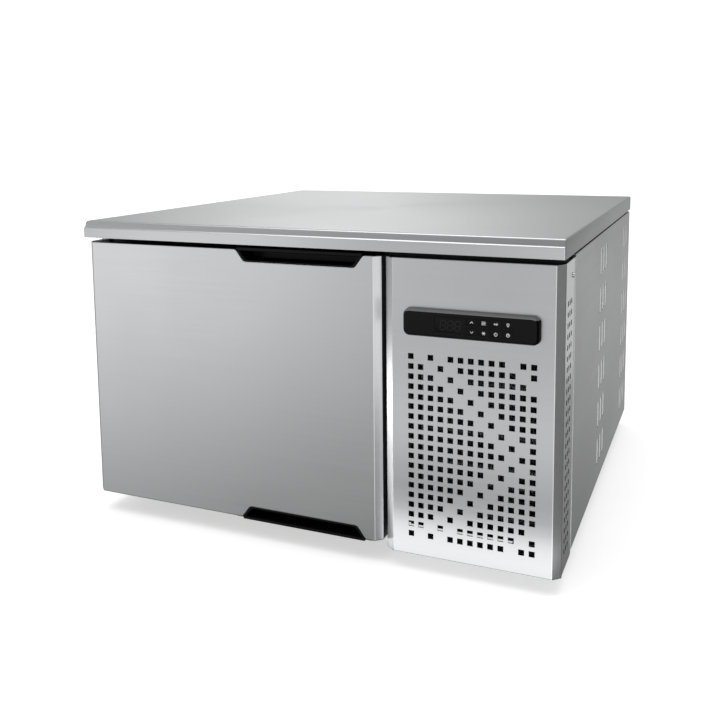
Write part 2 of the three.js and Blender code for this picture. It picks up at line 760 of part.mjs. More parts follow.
/** Rectangle of the controller, smaller all round by a margin. */
function controllerOutline(margin) {
  const [halfWidth, halfHeight] = [CONTROLLER.width / 2 - margin, CONTROLLER.height / 2 - margin];
  const [x, z] = [ventMiddle(), CONTROLLER.centreHeight];
  const [width, height] = [[x - halfWidth, x + halfWidth], [z - halfHeight, z + halfHeight]];
  return roundedRectangle(width, height, CONTROLLER.corner - margin);
}

/** Middle of a key, by its row and column. */
function keyPlace(row, column) {
  const x = ventMiddle() + KEY.firstOffset + column * KEY.columnSpacing;
  const z = CONTROLLER.centreHeight + (0.5 - row) * KEY.rowSpacing;
  return [x, z];
}

/** Extent of the display window, grown by a margin. */
function displayExtent(margin) {
  const x = ventMiddle() + DISPLAY.offset;
  const [halfWidth, halfHeight] = [DISPLAY.width / 2 + margin, DISPLAY.height / 2 + margin];
  const z = CONTROLLER.centreHeight;
  return { width: [x - halfWidth, x + halfWidth], height: [z - halfHeight, z + halfHeight] };
}

function controller() {
  const [middle, height] = [ventMiddle(), CONTROLLER.centreHeight];
  const back = -CLEAR;
  const face = back - CONTROLLER.depth;
  const inner = face + CONTROLLER.front;
  const pocket = (margin) => [
    [middle - HOUSING.width / 2 - margin, middle + HOUSING.width / 2 + margin],
    [height - HOUSING.height / 2 - margin, height + HOUSING.height / 2 + margin],
  ];
  const [pocketWidth, pocketHeight] = pocket(CLEAR);
  const window = displayExtent(CLEAR);
  const places = KEY_NAMES.flatMap((names, row) =>
    names.map((name, column) => [name, keyPlace(row, column)]),
  );
  const opening = ([x, z], margin, depth) =>
    block(
      [x - KEY.width / 2 - margin, x + KEY.width / 2 + margin],
      depth,
      [z - KEY.height / 2 - margin, z + KEY.height / 2 + margin],
    );

  const shell = taperedAlongY(controllerOutline(0), back, controllerOutline(CONTROLLER.taper), face);
  const bezel = shell
    .subtract(block(pocketWidth, [inner, back + CUT], pocketHeight))
    .subtract(block(window.width, [face - CUT, inner + CUT], window.height))
    .subtract(join(places.map(([, place]) => opening(place, CLEAR, [face - CUT, inner + CUT]))));
  piece("controller_bezel", bezel, "blackPlastic");

  const lens = displayExtent(0);
  const lensDepth = [face + CLEAR, face + CLEAR + DISPLAY.thickness];
  piece("controller_lens", block(lens.width, lensDepth, lens.height), "glossBlack");

  const [housingWidth, housingHeight] = pocket(0);
  const housing = block(housingWidth, [face + HOUSING.keySpace + CLEAR, HOUSING.depth], housingHeight);
  piece("controller_housing", housing, "blackPlastic");

  for (const [name, place] of places) {
    const pad = opening(place, 0, [face, inner + KEY.flangeDepth]);
    const flange = opening(place, KEY.flange, [inner + CLEAR, inner + CLEAR + KEY.flangeDepth]);
    piece(name, pad.add(flange), "blackPlastic");
  }
}

// ---------------------------------------------------------------- fans and their mounts

/** A fan with its axis along Y: a hub with blades that stand at a pitch angle. */
function fanRotor(fan, shaft) {
  const hub = ring([shaft + CLEAR, fan.hub], [0, fan.depth], [0, 0, 0], 20);
  const tip = fan.radius;
  const blade = new THREE.Shape();
  blade.moveTo(fan.hub * 0.8, -fan.hub * 0.5);
  blade.quadraticCurveTo(tip * 0.7, -tip * 0.42, tip * 0.95, -tip * 0.2);
  blade.quadraticCurveTo(tip * 0.97, tip * 0.1, tip * 0.86, tip * 0.34);
  blade.quadraticCurveTo(tip * 0.5, tip * 0.22, fan.hub * 0.8, fan.hub * 0.5);
  const blades = Array.from({ length: fan.blades }, (_, i) => {
    const options = { depth: fan.thickness, bevelEnabled: false, curveSegments: 3 };
    const geometry = new THREE.ExtrudeGeometry(blade, options);
    geometry.translate(0, 0, -fan.thickness / 2);
    geometry.rotateX(Math.PI / 2 + THREE.MathUtils.degToRad(fan.bladeAngle));
    geometry.translate(0, fan.depth / 2, 0);
    geometry.rotateY((i * 2 * Math.PI) / fan.blades);
    return solid(geometry);
  });
  const swept = join(blades)
    .subtract(rod(shaft + CLEAR, "y", [-CUT, fan.depth + CUT], [0, 0, 0]))
    .intersect(rod(fan.radius, "y", [-fan.depth, 2 * fan.depth], [0, 0, 0], 32));
  return hub.add(swept);
}

/** A fan motor with its axis along Y: a drum behind its mount and a shaft through the rotor. */
function fanMotor(motor, reach) {
  const { radius, length, edge } = motor;
  const profile = [
    [0, 0],
    [radius * 0.7, 0],
    [radius, edge],
    [radius, length - edge],
    [radius * 0.8, length],
    [0, length],
  ];
  const shaft = rod(motor.shaft, "y", [-reach, CUT], [0, 0, 0]);
  return turned(profile, "y", [0, 0, 0]).add(shaft);
}

/** Arms that carry a motor behind a round opening, from a rim at y = 0 back to a ring. */
function motorSpider(rim, standOff) {
  const depth = [standOff - SPIDER.thickness, standOff];
  const arms = Array.from({ length: SPIDER.arms }, (_, i) => {
    const bar = [-SPIDER.bar / 2, SPIDER.bar / 2];
    const leg = block([rim, rim + SPIDER.bar], [0, standOff], bar);
    const arm = block([SPIDER.ring - SPIDER.bar, rim + SPIDER.bar], depth, bar);
    return leg.add(arm).rotate([0, 45 + (i * 360) / SPIDER.arms, 0]);
  });
  return join(ring([SPIDER.bore, SPIDER.ring], depth, [0, 0, 0]), arms);
}

// ---------------------------------------------------------------- machine side

/** Condenser: a fin block between two end plates that stand on the base pan. */
function condenserCoil() {
  const fins = block([-coilHalf, coilHalf], [coilFront, coilRear], [baseTop + COIL.bottom, coilTop]);
  const plates = [-coilHalf - COIL.plate, coilHalf - CLEAR].map((x) =>
    block(
      [x, x + COIL.plate + CLEAR],
      [coilFront - COIL.plateMargin, coilRear + COIL.plateMargin],
      [foamBottom, coilTop + COIL.top],
    ),
  );
  return join(fins, plates).translate([machineMiddle, 0, 0]);
}

/** Sheet behind the condenser with a round duct for the fan and arms for its motor. */
function condenserShroud() {
  const bore = CONDENSER_FAN.radius + CONDENSER_FAN.gap;
  const half = coilHalf + COIL.plate;
  const { x, z } = condenserAxis;
  const front = coilRear + COIL.plateMargin + CLEAR;
  const plate = block([x - half, x + half], [front, front + SHROUD.sheet], [foamBottom, coilTop + COIL.top]);
  const opening = rod(bore, "y", [front - CUT, front + CUT], [x, 0, z], 24);
  const duct = ring([bore, bore + SHROUD.ring], [front, front + SHROUD.duct], [x, 0, z]);
  const spider = motorSpider(bore, SPIDER.standOff + SHROUD.duct).translate([x, front + SHROUD.sheet / 2, z]);
  return join(plate.subtract(opening), duct, spider);
}

/** The condenser's fan and motor, on one axis along Y. */
function condenserFan() {
  const front = coilRear + COIL.plateMargin + CLEAR;
  const motorFront = front + SHROUD.sheet / 2 + SPIDER.standOff + SHROUD.duct + CLEAR;
  const rotorFront = front + CONDENSER_FAN.start;
  const group = new THREE.Group();
  group.position.set(condenserAxis.x, 0, condenserAxis.z);
  const motor = fanMotor(MOTOR, motorFront - rotorFront - MOTOR.shaftBack);
  piece("condenser_fan_motor", motor, "blackPaint", group).position.y = motorFront;
  const rotor = fanRotor(CONDENSER_FAN, MOTOR.shaft);
  piece("condenser_fan_blade", rotor, "aluminium", group).position.y = rotorFront;
  chiller.add(group);
}

/** Pressed plate on four legs that the compressor stands on. */
function compressorPlate() {
  const [halfWidth, halfDepth] = [MACHINE_WIDTH / 2 - MOUNT_PLATE.sideGap, MOUNT_PLATE.depth / 2];
  const top = foamBottom + MOUNT_PLATE.leg + MOUNT_PLATE.thickness;
  const plate = block([-halfWidth, halfWidth], [-halfDepth, halfDepth], [top - MOUNT_PLATE.thickness, top]);
  const legs = [-1, 1].flatMap((x) =>
    [-1, 1].map((y) => {
      const place = [x * (halfWidth - MOUNT_PLATE.legInset), y * (halfDepth - MOUNT_PLATE.legInset), 0];
      return rod(MOUNT_PLATE.legRadius, "z", [foamBottom, top - CLEAR], place, 12);
    }),
  );
  return join(plate, legs).translate([machineMiddle, COMPRESSOR.fromFront, 0]);
}

/** Hermetic compressor: a welded pot with its suction and discharge stubs and terminal box. */
function compressor() {
  const { radius, height, seam, seamHeight, dome, stub } = COMPRESSOR;
  const profile = [
    [0, 0],
    [radius * 0.7, 0],
    [radius, dome * 0.6],
    [radius, seamHeight - seam],
    [radius + seam, seamHeight],
    [radius, seamHeight + seam],
    [radius, height - dome],
    [radius * 0.8, height - dome * 0.35],
    [radius * 0.45, height - dome * 0.08],
    [0, height],
  ];
  const pot = turned(profile, "z", [0, 0, 0], 24);
  const suctionStub = rod(stub, "z", [height - dome, height + dome * 0.3], [-SUCTION.offset, 0, 0], 10);
  const dischargeHeight = DISCHARGE.low - compressorBottom;
  const dischargeStub = rod(stub, "x", [radius - CUT, radius + seam * 2], [0, 0, dischargeHeight], 10);
  const box = block(
    [-TERMINAL_BOX.width / 2, TERMINAL_BOX.width / 2],
    [radius * 0.9, radius + TERMINAL_BOX.depth],
    [TERMINAL_BOX.bottom, TERMINAL_BOX.bottom + TERMINAL_BOX.height],
  );
  const place = [machineMiddle, COMPRESSOR.fromFront, compressorBottom];
  return join(pot, suctionStub, dischargeStub, box).translate(place);
}

/** Pipes between compressor, condenser and evaporator. */
function pipes() {
  const compressorSide = machineMiddle + COMPRESSOR.radius + COMPRESSOR.seam * 2 + CLEAR;
  const coilSide = machineMiddle + coilHalf + COIL.plate + CLEAR;
  const coilMiddle = (coilFront + coilRear) / 2;
  const hotHeight = coilTop - DISCHARGE.fromCoilTop;
  const evaporatorSide = cell.right - EVAPORATOR.pipeGap + CLEAR;
  const compressorTop = compressorBottom + COMPRESSOR.height + COMPRESSOR.dome * 0.3 + CLEAR;

  piece(
    "discharge_pipe",
    pipe(
      [
        [compressorSide, COMPRESSOR.fromFront, DISCHARGE.low],
        [pipeSide, COMPRESSOR.fromFront, DISCHARGE.low],
        [pipeSide, COMPRESSOR.fromFront, hotHeight],
        [pipeSide, coilMiddle, hotHeight],
        [coilSide, coilMiddle, hotHeight],
      ],
      DISCHARGE.radius,
    ),
    "copper",
  );

  const suctionX = machineMiddle - SUCTION.offset;
  const suctionHeight = port.z + SUCTION.above;
  piece(
    "suction_pipe",
    pipe(
      [
        [evaporatorSide, port.y, suctionHeight],
        [suctionX, port.y, suctionHeight],
        [suctionX, COMPRESSOR.fromFront, suctionHeight],
        [suctionX, COMPRESSOR.fromFront, compressorTop],
      ],
      SUCTION.radius,
    ),
    "copper",
  );

  const riser = doorRight + LIQUID.rise;
  const liquidHeight = port.z - LIQUID.below;
  const line = pipe(
    [
      [coilSide, coilMiddle, LIQUID.low],
      [pipeSide, coilMiddle, LIQUID.low],
      [pipeSide, LIQUID.cross, LIQUID.low],
      [riser, LIQUID.cross, LIQUID.low],
      [riser, port.y, LIQUID.low],
      [riser, port.y, liquidHeight],
      [evaporatorSide, port.y, liquidHeight],
    ],
    LIQUID.radius,
  );
  const half = DRIER.length / 2;
  const profile = [
    [0, -half],
    [LIQUID.radius, -half],
    [DRIER.radius, DRIER.taper - half],
    [DRIER.radius, half - DRIER.taper],
    [LIQUID.radius, half],
    [0, half],
  ];
  const drier = turned(profile, "x", [machineMiddle, LIQUID.cross, LIQUID.low], 12);
  piece("liquid_line_with_drier", line.add(drier), "copper");
}

/** Electrical box on the base pan at the rear, with its lid. */
function electricalBox() {
  const right = bodyRight - BOX.sideGap;
  const width = [right - BOX.width, right];
  const depth = [bodyRear - BOX.rearGap - BOX.depth, bodyRear - BOX.rearGap];
  const top = foamBottom + BOX.height;
  const rim = ([from, to]) => [from - BOX.lidRim, to + BOX.lidRim];
  return block(width, depth, [foamBottom, top]).add(block(rim(width), rim(depth), [top - BOX.lid, top]));
}

/** Cable gland in the rear panel: a bored stem with a nut on each side of the sheet. */
function cableGland() {
  const inside = bodyRear - SHEET - CLEAR;
  const outside = bodyRear + CLEAR;
  const at = [gland.x, 0, gland.z];
  const stem = rod(GLAND.body, "y", [inside - GLAND.inside, outside + GLAND.outside], at);
  const innerNut = rod(GLAND.nut, "y", [inside - GLAND.inside, inside], at, 6);
  const outerNut = rod(GLAND.nut, "y", [outside, outside + GLAND.outside], at, 6);
  return join(stem, innerNut, outerNut).subtract(rod(GLAND.bore, "y", [0, worktopRear + CUT], at));
}

function machineSide() {
  piece("front_cover", machineCover(), "steel");
  piece("cover_screw", coverScrew(), "steel");
  piece("condenser_coil", condenserCoil(), "aluminium");
  piece("condenser_shroud", condenserShroud(), "zinc");
  condenserFan();
  piece("compressor_plate", compressorPlate(), "zinc");
  piece("compressor", compressor(), "blackPaint");
  pipes();
  piece("electrical_box", electricalBox(), "greyPlastic");
  piece("cable_gland", cableGland(), "blackPlastic");
}

// ---------------------------------------------------------------- inside the cell

/** Evaporator: a fin block between end plates, against the liner's back. */
function evaporatorCoil() {
  const [left, right] = [cell.left + EVAPORATOR.sideGap, cell.right - EVAPORATOR.pipeGap];
  const [bottom, top] = [cell.bottom + EVAPORATOR.bottomGap, cell.top - EVAPORATOR.topGap];
  const [front, rear] = [cell.rear - CLEAR - EVAPORATOR.depth, cell.rear - CLEAR];
  const { plate, plateMargin } = EVAPORATOR;
  const fins = block(
    [left + plate, right - plate],
    [front + plateMargin, rear - plateMargin],
    [bottom + plateMargin, top - plateMargin],
  );
  const plates = [left, right - plate - CLEAR].map((x) =>
    block([x, x + plate + CLEAR], [front, rear], [bottom, top]),
  );
  return join(fins, plates);
}

/** Fan guard: rings of wire on spokes, in front of a round opening. */
function fanGuard(opening) {
  const depth = [-GUARD.standOff - GUARD.wire, -GUARD.standOff];
  const rings = GUARD.rings.map((radius) => ring([radius, radius + GUARD.wire], depth, [0, 0, 0]));
  const spokes = Array.from({ length: GUARD.spokes }, (_, i) => {
    const across = [-GUARD.wire / 2, GUARD.wire / 2];
    const wire = block([GUARD.innerSpoke, opening + GUARD.wire], depth, across);
    const foot = block([opening, opening + GUARD.wire], [depth[0], SHEET / 2], across);
    return wire.add(foot).rotate([0, (i * 360) / GUARD.spokes, 0]);
  });
  const hub = ring([GUARD.innerSpoke - GUARD.wire, GUARD.innerSpoke + GUARD.wire], depth, [0, 0, 0], 12);
  return join(rings, spokes, hub);
}

/** Cover of the evaporator: a sheet with the fan's opening, its guard and its motor's arms. */
function evaporatorCover() {
  const { x, z } = cellMiddle;
  const width = [cell.left + CLEAR, cell.right - CLEAR];
  const height = [cell.bottom + EVAPORATOR_COVER.airGap, cell.top - EVAPORATOR_COVER.airGap];
  const opening = EVAPORATOR_COVER.opening;
  const plate = block(width, [coverFront, coverFront + SHEET], height);
  const hole = rod(opening, "y", [coverFront - CUT, coverFront + CUT], [x, 0, z], 24);
  const guard = fanGuard(opening).translate([x, coverFront, z]);
  const spider = motorSpider(opening, SPIDER.standOff).translate([x, coverFront + SHEET / 2, z]);
  return join(plate.subtract(hole), guard, spider);
}

/** The evaporator's fan and motor, on one axis along Y. */
function evaporatorFan() {
  const motorFront = coverFront + SHEET / 2 + SPIDER.standOff + CLEAR;
  const rotorFront = coverFront + EVAPORATOR_FAN.start;
  const group = new THREE.Group();
  group.position.set(cellMiddle.x, 0, cellMiddle.z);
  const motor = fanMotor(EVAPORATOR_MOTOR, motorFront - rotorFront - EVAPORATOR_MOTOR.shaftBack);
  piece("evaporator_fan_motor", motor, "greyPlastic", group).position.y = motorFront;
  const rotor = fanRotor(EVAPORATOR_FAN, EVAPORATOR_MOTOR.shaft);
  piece("evaporator_fan_blade", rotor, "blackPlastic", group).position.y = rotorFront;
  chiller.add(group);
}

/** Tray under the evaporator that catches its melt water. */
function dripTray() {
  const width = [cell.left + DRIP.sideGap, cell.right - DRIP.sideGap];
  const depth = [cell.rear - DRIP.front, cell.rear - CLEAR];
  const bottom = cell.bottom + CLEAR;
  const within = ([from, to]) => [from + DRIP.wall, to - DRIP.wall];
  const outside = block(width, depth, [bottom, bottom + DRIP.height]);
  const inside = block(within(width), within(depth), [bottom + DRIP.wall, bottom + DRIP.height + CUT]);
  return outside.subtract(inside);
}

/** One pan rack: a side plate with a ledge for each level; side is -1 on the left, 1 on the right. */
function panRack(side) {
  const wall = side < 0 ? cell.left + CLEAR : cell.right - CLEAR;
  const reach = (distance) => [wall, wall - side * distance].sort((a, b) => a - b);
  const depth = [liner.front + RACK.front, coverFront - RACK.rear];
  const plate = block(reach(RACK.sheet), depth, [cell.bottom + RACK.margin, cell.top - RACK.margin]);
  const ledges = Array.from({ length: RACK.levels }, (_, i) => {
    const z = cell.bottom + RACK.lowest + i * RACK.spacing;
    return block(reach(RACK.ledge), depth, [z, z + RACK.sheet]);
  });
  return join(plate, ledges);
}

function insideTheCell() {
  piece("evaporator_coil", evaporatorCoil(), "aluminium");
  piece("evaporator_cover", evaporatorCover(), "innerSteel");
  evaporatorFan();
  piece("drip_tray", dripTray(), "innerSteel");
  piece("left_pan_rack", panRack(-1), "innerSteel");
  piece("right_pan_rack", panRack(1), "innerSteel");
}

// ---------------------------------------------------------------- door

/** Plan of the door's skin, open to the rear. */
function doorPlan(rear) {
  return [
    [bodyLeft, rear],
    [bodyLeft, DOOR_CHAMFER],
    [bodyLeft + DOOR_CHAMFER, 0],
    [doorRight - DOOR_CHAMFER, 0],
    [doorRight, DOOR_CHAMFER],
    [doorRight, rear],
  ];
}

/** Outline of a finger pull in the door's face, at the top edge, smaller by margins at its sides and sill. */
function pullOutline(margin, sill = margin) {
  const slope = (PULL.openWidth - PULL.floorWidth) / 2 / PULL.height;
  const floor = frontTop - PULL.height + sill;
  const half = PULL.floorWidth / 2 - margin + slope * sill;
  const open = half + slope * (frontTop - floor);
  const above = frontTop + CUT;
  return outline([
    [pullMiddle - open - PULL.ear * 2, above],
    [pullMiddle - open - PULL.ear * 2, frontTop],
    [pullMiddle - open, frontTop, PULL.ear],
    [pullMiddle - half, floor, PULL.corner],
    [pullMiddle + half, floor, PULL.corner],
    [pullMiddle + open, frontTop, PULL.ear],
    [pullMiddle + open + PULL.ear * 2, frontTop],
    [pullMiddle + open + PULL.ear * 2, above],
  ]);
}

/** A solid made for the door's top edge, and the same one turned over for its bottom edge. */
function atBottomEdge(shape) {
  return shape.mirror([0, 0, 1]).translate([0, 0, doorBottom + frontTop]);
}

/** Roof of a finger pull: it stands a little over the door's edge and slopes down to the rear. */
function pullRoof() {
  const half = PULL.openWidth / 2 - PULL_ROOF.inset;
  const profile = [
    [0, frontTop - PULL_ROOF.front],
    [PULL.depth - PULL.wall, frontTop - PULL_ROOF.rear],
    [PULL.depth, frontTop - PULL_ROOF.rear],
    [PULL.depth, frontTop + PULL_ROOF.rise],
    [0, frontTop + PULL_ROOF.rise],
  ];
  const within = extrude(pullOutline(CLEAR), "y", [0, PULL.depth]);
  return extrude(outline(profile), "x", [pullMiddle - half, pullMiddle + half]).intersect(within);
}

/** Cap in the door's top edge, with its finger pull and the boss that the pivot pin turns in. */
function doorCap() {
  const skinRear = DOOR_THICKNESS - fold;
  const plan = inset(doorPlan(skinRear + fold), fold);
  const plate = extrude(outline(plan), "z", [frontTop - CAP_THICKNESS, frontTop]);
  const topLimit = block([bodyLeft, doorRight], [-CUT, DOOR_THICKNESS], [doorBottom, frontTop]);
  const scoop = extrude(pullOutline(CLEAR), "y", [0, PULL.depth]).intersect(topLimit);
  const pocket = extrude(pullOutline(PULL.rim, PULL.sill), "y", [-CUT, PULL.depth - PULL.wall]);
  const undercutWidth = PULL.floorWidth / 2 - PULL.rim - PULL.corner;
  const floor = frontTop - PULL.height + PULL.sill;
  const undercut = block(
    [pullMiddle - undercutWidth, pullMiddle + undercutWidth],
    [PULL_LIP.depth, PULL.depth - PULL.wall],
    [floor - PULL_LIP.drop, floor + CLEAR],
  );
  const at = [hinge.x, hinge.y, 0];
  const bossBottom = frontTop - PIVOT.reach - CAP_THICKNESS;
  const boss = rod(PIVOT.boss, "z", [bossBottom, frontTop - CLEAR], at);
  const bore = rod(PIVOT.pin + CLEAR, "z", [frontTop - PIVOT.reach - CLEAR, frontTop + CUT], at);
  return join(plate, scoop, boss).subtract(pocket).subtract(undercut).subtract(bore).add(pullRoof());
}

/** Room that the foam leaves for a cap's finger pull and boss. */
function capRoom() {
  const scoop = extrude(pullOutline(-CLEAR), "y", [-CUT, PULL.depth + CLEAR]);
  const height = [frontTop - PIVOT.reach - CAP_THICKNESS - CLEAR, frontTop + CUT];
  return scoop.add(rod(PIVOT.boss + CLEAR, "z", height, [hinge.x, hinge.y, 0]));
}

/** Door skin: chamfered down both upright edges, cut out for the two finger pulls. */
function doorSkin() {
  const rear = DOOR_THICKNESS - fold;
  const hollow = outline(inset(doorPlan(rear + CUT), SHEET));
  const outside = extrude(outline(doorPlan(rear)), "z", [doorBottom, frontTop]);
  const inside = extrude(hollow, "z", [doorBottom - CUT, frontTop + CUT]);
  const cut = extrude(pullOutline(0), "y", [-CUT, SHEET + CUT]);
  return outside.subtract(inside).subtract(cut).subtract(atBottomEdge(cut));
}

/** Foam core of the door, between the skin, the caps and the liner. */
function doorFoam() {
  const height = [doorBottom + CAP_THICKNESS + CLEAR, frontTop - CAP_THICKNESS - CLEAR];
  const flangeFront = DOOR_THICKNESS - SHEET - DOOR_FLANGE;
  const front = extrude(outline(inset(doorPlan(flangeFront - CLEAR + fold), fold)), "z", height);
  const rear = block(
    [bodyLeft + 2 * fold, doorRight - 2 * fold],
    [flangeFront - CUT, DOOR_THICKNESS - fold],
    [height[0] + fold, height[1] - fold],
  );
  return front.add(rear).subtract(capRoom()).subtract(atBottomEdge(capRoom()));
}

/** Door liner: a sheet with a pressed middle, folded forward inside the skin. */
function doorLiner() {
  const face = DOOR_THICKNESS;
  const sheet = block([bodyLeft, doorRight], [face - SHEET, face], [doorBottom, frontTop]);
  const pressed = block(
    [bodyLeft + DOOR_PANEL.margin, doorRight - DOOR_PANEL.margin],
    [face - SHEET, face + DOOR_PANEL.rise],
    [doorBottom + DOOR_PANEL.margin, frontTop - DOOR_PANEL.margin],
  );
  const [left, right] = [bodyLeft + fold, doorRight - fold];
  const [bottom, top] = [doorBottom + CAP_THICKNESS + CLEAR, frontTop - CAP_THICKNESS - CLEAR];
  const depth = [face - SHEET - DOOR_FLANGE, face - SHEET / 2];
  const flange = block([left, right], depth, [bottom, top]).subtract(
    block([left + SHEET, right - SHEET], [depth[0] - CUT, depth[1] + CUT], [bottom + SHEET, top - SHEET]),
  );
  return join(sheet, pressed, flange);
}

/** Magnetic gasket: a frame with a base, a narrow bellows and a head that meets the front frame. */
function doorGasket() {
  const start = DOOR_THICKNESS + CLEAR;
  const end = frameFront - CLEAR;
  const slab = (inset, depth) =>
    block([bodyLeft + inset, doorRight - inset], depth, [doorBottom + inset, frontTop - inset]);
  const frame = (margin, [from, to]) => {
    const hollow = slab(GASKET.inset + GASKET.width - margin, [from - CUT, to + CUT]);
    return slab(GASKET.inset + margin, [from, to]).subtract(hollow);
  };
  const waistMargin = (GASKET.width - GASKET.waist) / 2;
  return join(
    frame(0, [start, start + GASKET.base]),
    frame(waistMargin, [start, end]),
    frame(0, [end - GASKET.head, end]),
  );
}

/** Pivot pin for the top edge: a stub in the bracket, a collar that spaces the door, and the pin. */
function hingePin(bracketFace, doorEdge) {
  const tip = doorEdge - PIVOT.reach;
  const profile = [
    [0, tip],
    [PIVOT.pin, tip],
    [PIVOT.pin, doorEdge + CLEAR],
    [PIVOT.collar, doorEdge + CLEAR],
    [PIVOT.collar, bracketFace - CLEAR],
    [PIVOT.stub, bracketFace - CLEAR],
    [PIVOT.stub, bracketFace + BRACKET.thickness],
    [0, bracketFace + BRACKET.thickness],
  ];
  return turned(profile, "z", [hinge.x, hinge.y, 0], 20);
}

/** Bracket plate that carries a pin, lying on or under the cabinet. */
function hingeBracket(face) {
  const left = bodyLeft + BRACKET.side;
  const back = face + BRACKET.thickness;
  const plate = block([left, left + BRACKET.width], [BRACKET.front, BRACKET.rear], [face, back]);
  const hole = rod(PIVOT.stub + CLEAR, "z", [face - CUT, back + CUT], [hinge.x, hinge.y, 0], 20);
  return plate.subtract(hole);
}

/** Turns a pin made for the top edge over, to stand on the lower bracket. */
function turnedOver(shape, level) {
  return shape.mirror([0, 0, 1]).translate([0, 0, 2 * level]);
}

function doorAndHinges() {
  const upperFace = bodyTop + CLEAR;
  const lowerFace = baseUnder - CLEAR;
  piece("upper_hinge_bracket", hingeBracket(upperFace), "zinc");
  piece("lower_hinge_bracket", hingeBracket(lowerFace - BRACKET.thickness), "zinc");
  piece("upper_hinge_pin", hingePin(upperFace, frontTop), "steel");
  piece("lower_hinge_pin", turnedOver(hingePin(2 * doorBottom - lowerFace, doorBottom), doorBottom), "steel");

  const door = new THREE.Group();
  piece("door_skin", doorSkin(), "steel", door);
  piece("door_foam", doorFoam(), "foam", door);
  piece("door_liner", doorLiner(), "innerSteel", door);
  piece("door_gasket", doorGasket(), "rubber", door);
  piece("door_top_cap", doorCap(), "blackPlastic", door);
  piece("door_bottom_cap", atBottomEdge(doorCap()), "blackPlastic", door);
  chiller.add(door);
}

// ---------------------------------------------------------------- assembly

cabinet();
machineSide();
controller();
insideTheCell();
doorAndHinges();

const foremost = -CONTROLLER.depth - CLEAR;
chiller.position.y = -(foremost + worktopRear) / 2;

export default chiller;
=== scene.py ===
"""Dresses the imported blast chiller: a counter cabinet of brushed stainless steel.

Metres, +Z up, and the door faces -Y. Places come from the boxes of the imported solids, so that a
piece lies where its solid does, and details are sizes of the real sheet, mouldings and fans.
"""

from __future__ import annotations

import logging
import math
from collections.abc import Callable, Iterable, Sequence
from dataclasses import dataclass, field, replace
from enum import Enum

import bpy
import numpy as np
from mathutils import Euler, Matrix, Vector

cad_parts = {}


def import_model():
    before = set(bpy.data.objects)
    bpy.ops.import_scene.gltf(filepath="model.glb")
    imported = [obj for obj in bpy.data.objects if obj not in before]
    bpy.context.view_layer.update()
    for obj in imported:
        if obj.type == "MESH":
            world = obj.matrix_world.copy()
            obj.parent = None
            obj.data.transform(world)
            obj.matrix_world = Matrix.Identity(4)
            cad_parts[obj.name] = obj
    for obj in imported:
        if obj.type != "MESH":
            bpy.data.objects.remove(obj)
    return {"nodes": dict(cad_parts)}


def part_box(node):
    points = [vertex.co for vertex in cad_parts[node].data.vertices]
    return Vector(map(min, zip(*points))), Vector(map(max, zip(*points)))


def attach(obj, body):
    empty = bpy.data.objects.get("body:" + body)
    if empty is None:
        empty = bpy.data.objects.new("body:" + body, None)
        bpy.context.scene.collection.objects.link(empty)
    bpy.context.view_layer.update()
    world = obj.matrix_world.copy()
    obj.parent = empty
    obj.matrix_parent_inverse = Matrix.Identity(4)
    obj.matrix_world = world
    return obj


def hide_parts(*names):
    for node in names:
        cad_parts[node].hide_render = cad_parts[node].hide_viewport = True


LOG = logging.getLogger("blast_chiller")
MM = 0.001
SHEET = 1.2 * MM
GAP = 0.3 * MM
EDGE_RADIUS = 1.2 * MM
EDGE_STEPS = np.array([0, 0.12, 0.35, 0.75, 1.4, 1.9, 2.6]) * MM
SAME_PLACE = 0.5e-6
ON_PLANE = 1e-6
SHARP_ANGLE = math.radians(32)
XZ = [0, 2]
Mesh = tuple[np.ndarray, list[tuple[int, ...]]]
Point = Sequence[float]
Points = Sequence[Point]
Choice = Callable[[np.ndarray, np.ndarray], np.ndarray]


# ------------------------------------------------------------------ shader expressions


class Value:
    """A node's output that adds Math nodes when it is used in an expression."""

    def __init__(self, graph: Graph, socket: bpy.types.NodeSocket) -> None:
        """Keeps the graph that the output is in, and the output."""
        self.graph = graph
        self.socket = socket

    def _math(self, operation: str, first: Value | float, second: Value | float) -> Value:
        """Adds one Math node.

        Args:
            operation: Blender's name of the operation.
            first: Its first value.
            second: Its second value.

        Returns:
            The node's result.
        """
        return self.graph.node("ShaderNodeMath", {"operation": operation}, {0: first, 1: second})

    def __add__(self, other: Value | float) -> Value:
        """The sum."""
        return self._math("ADD", self, other)

    def __rsub__(self, other: float) -> Value:
        """The difference from a number."""
        return self._math("SUBTRACT", other, self)

    def __mul__(self, other: Value | float) -> Value:
        """The product."""
        return self._math("MULTIPLY", self, other)

    def power(self, exponent: float) -> Value:
        """The value raised to a power."""
        return self._math("POWER", self, exponent)

    def at_least(self, limit: float) -> Value:
        """The greater of the value and a limit."""
        return self._math("MAXIMUM", self, limit)


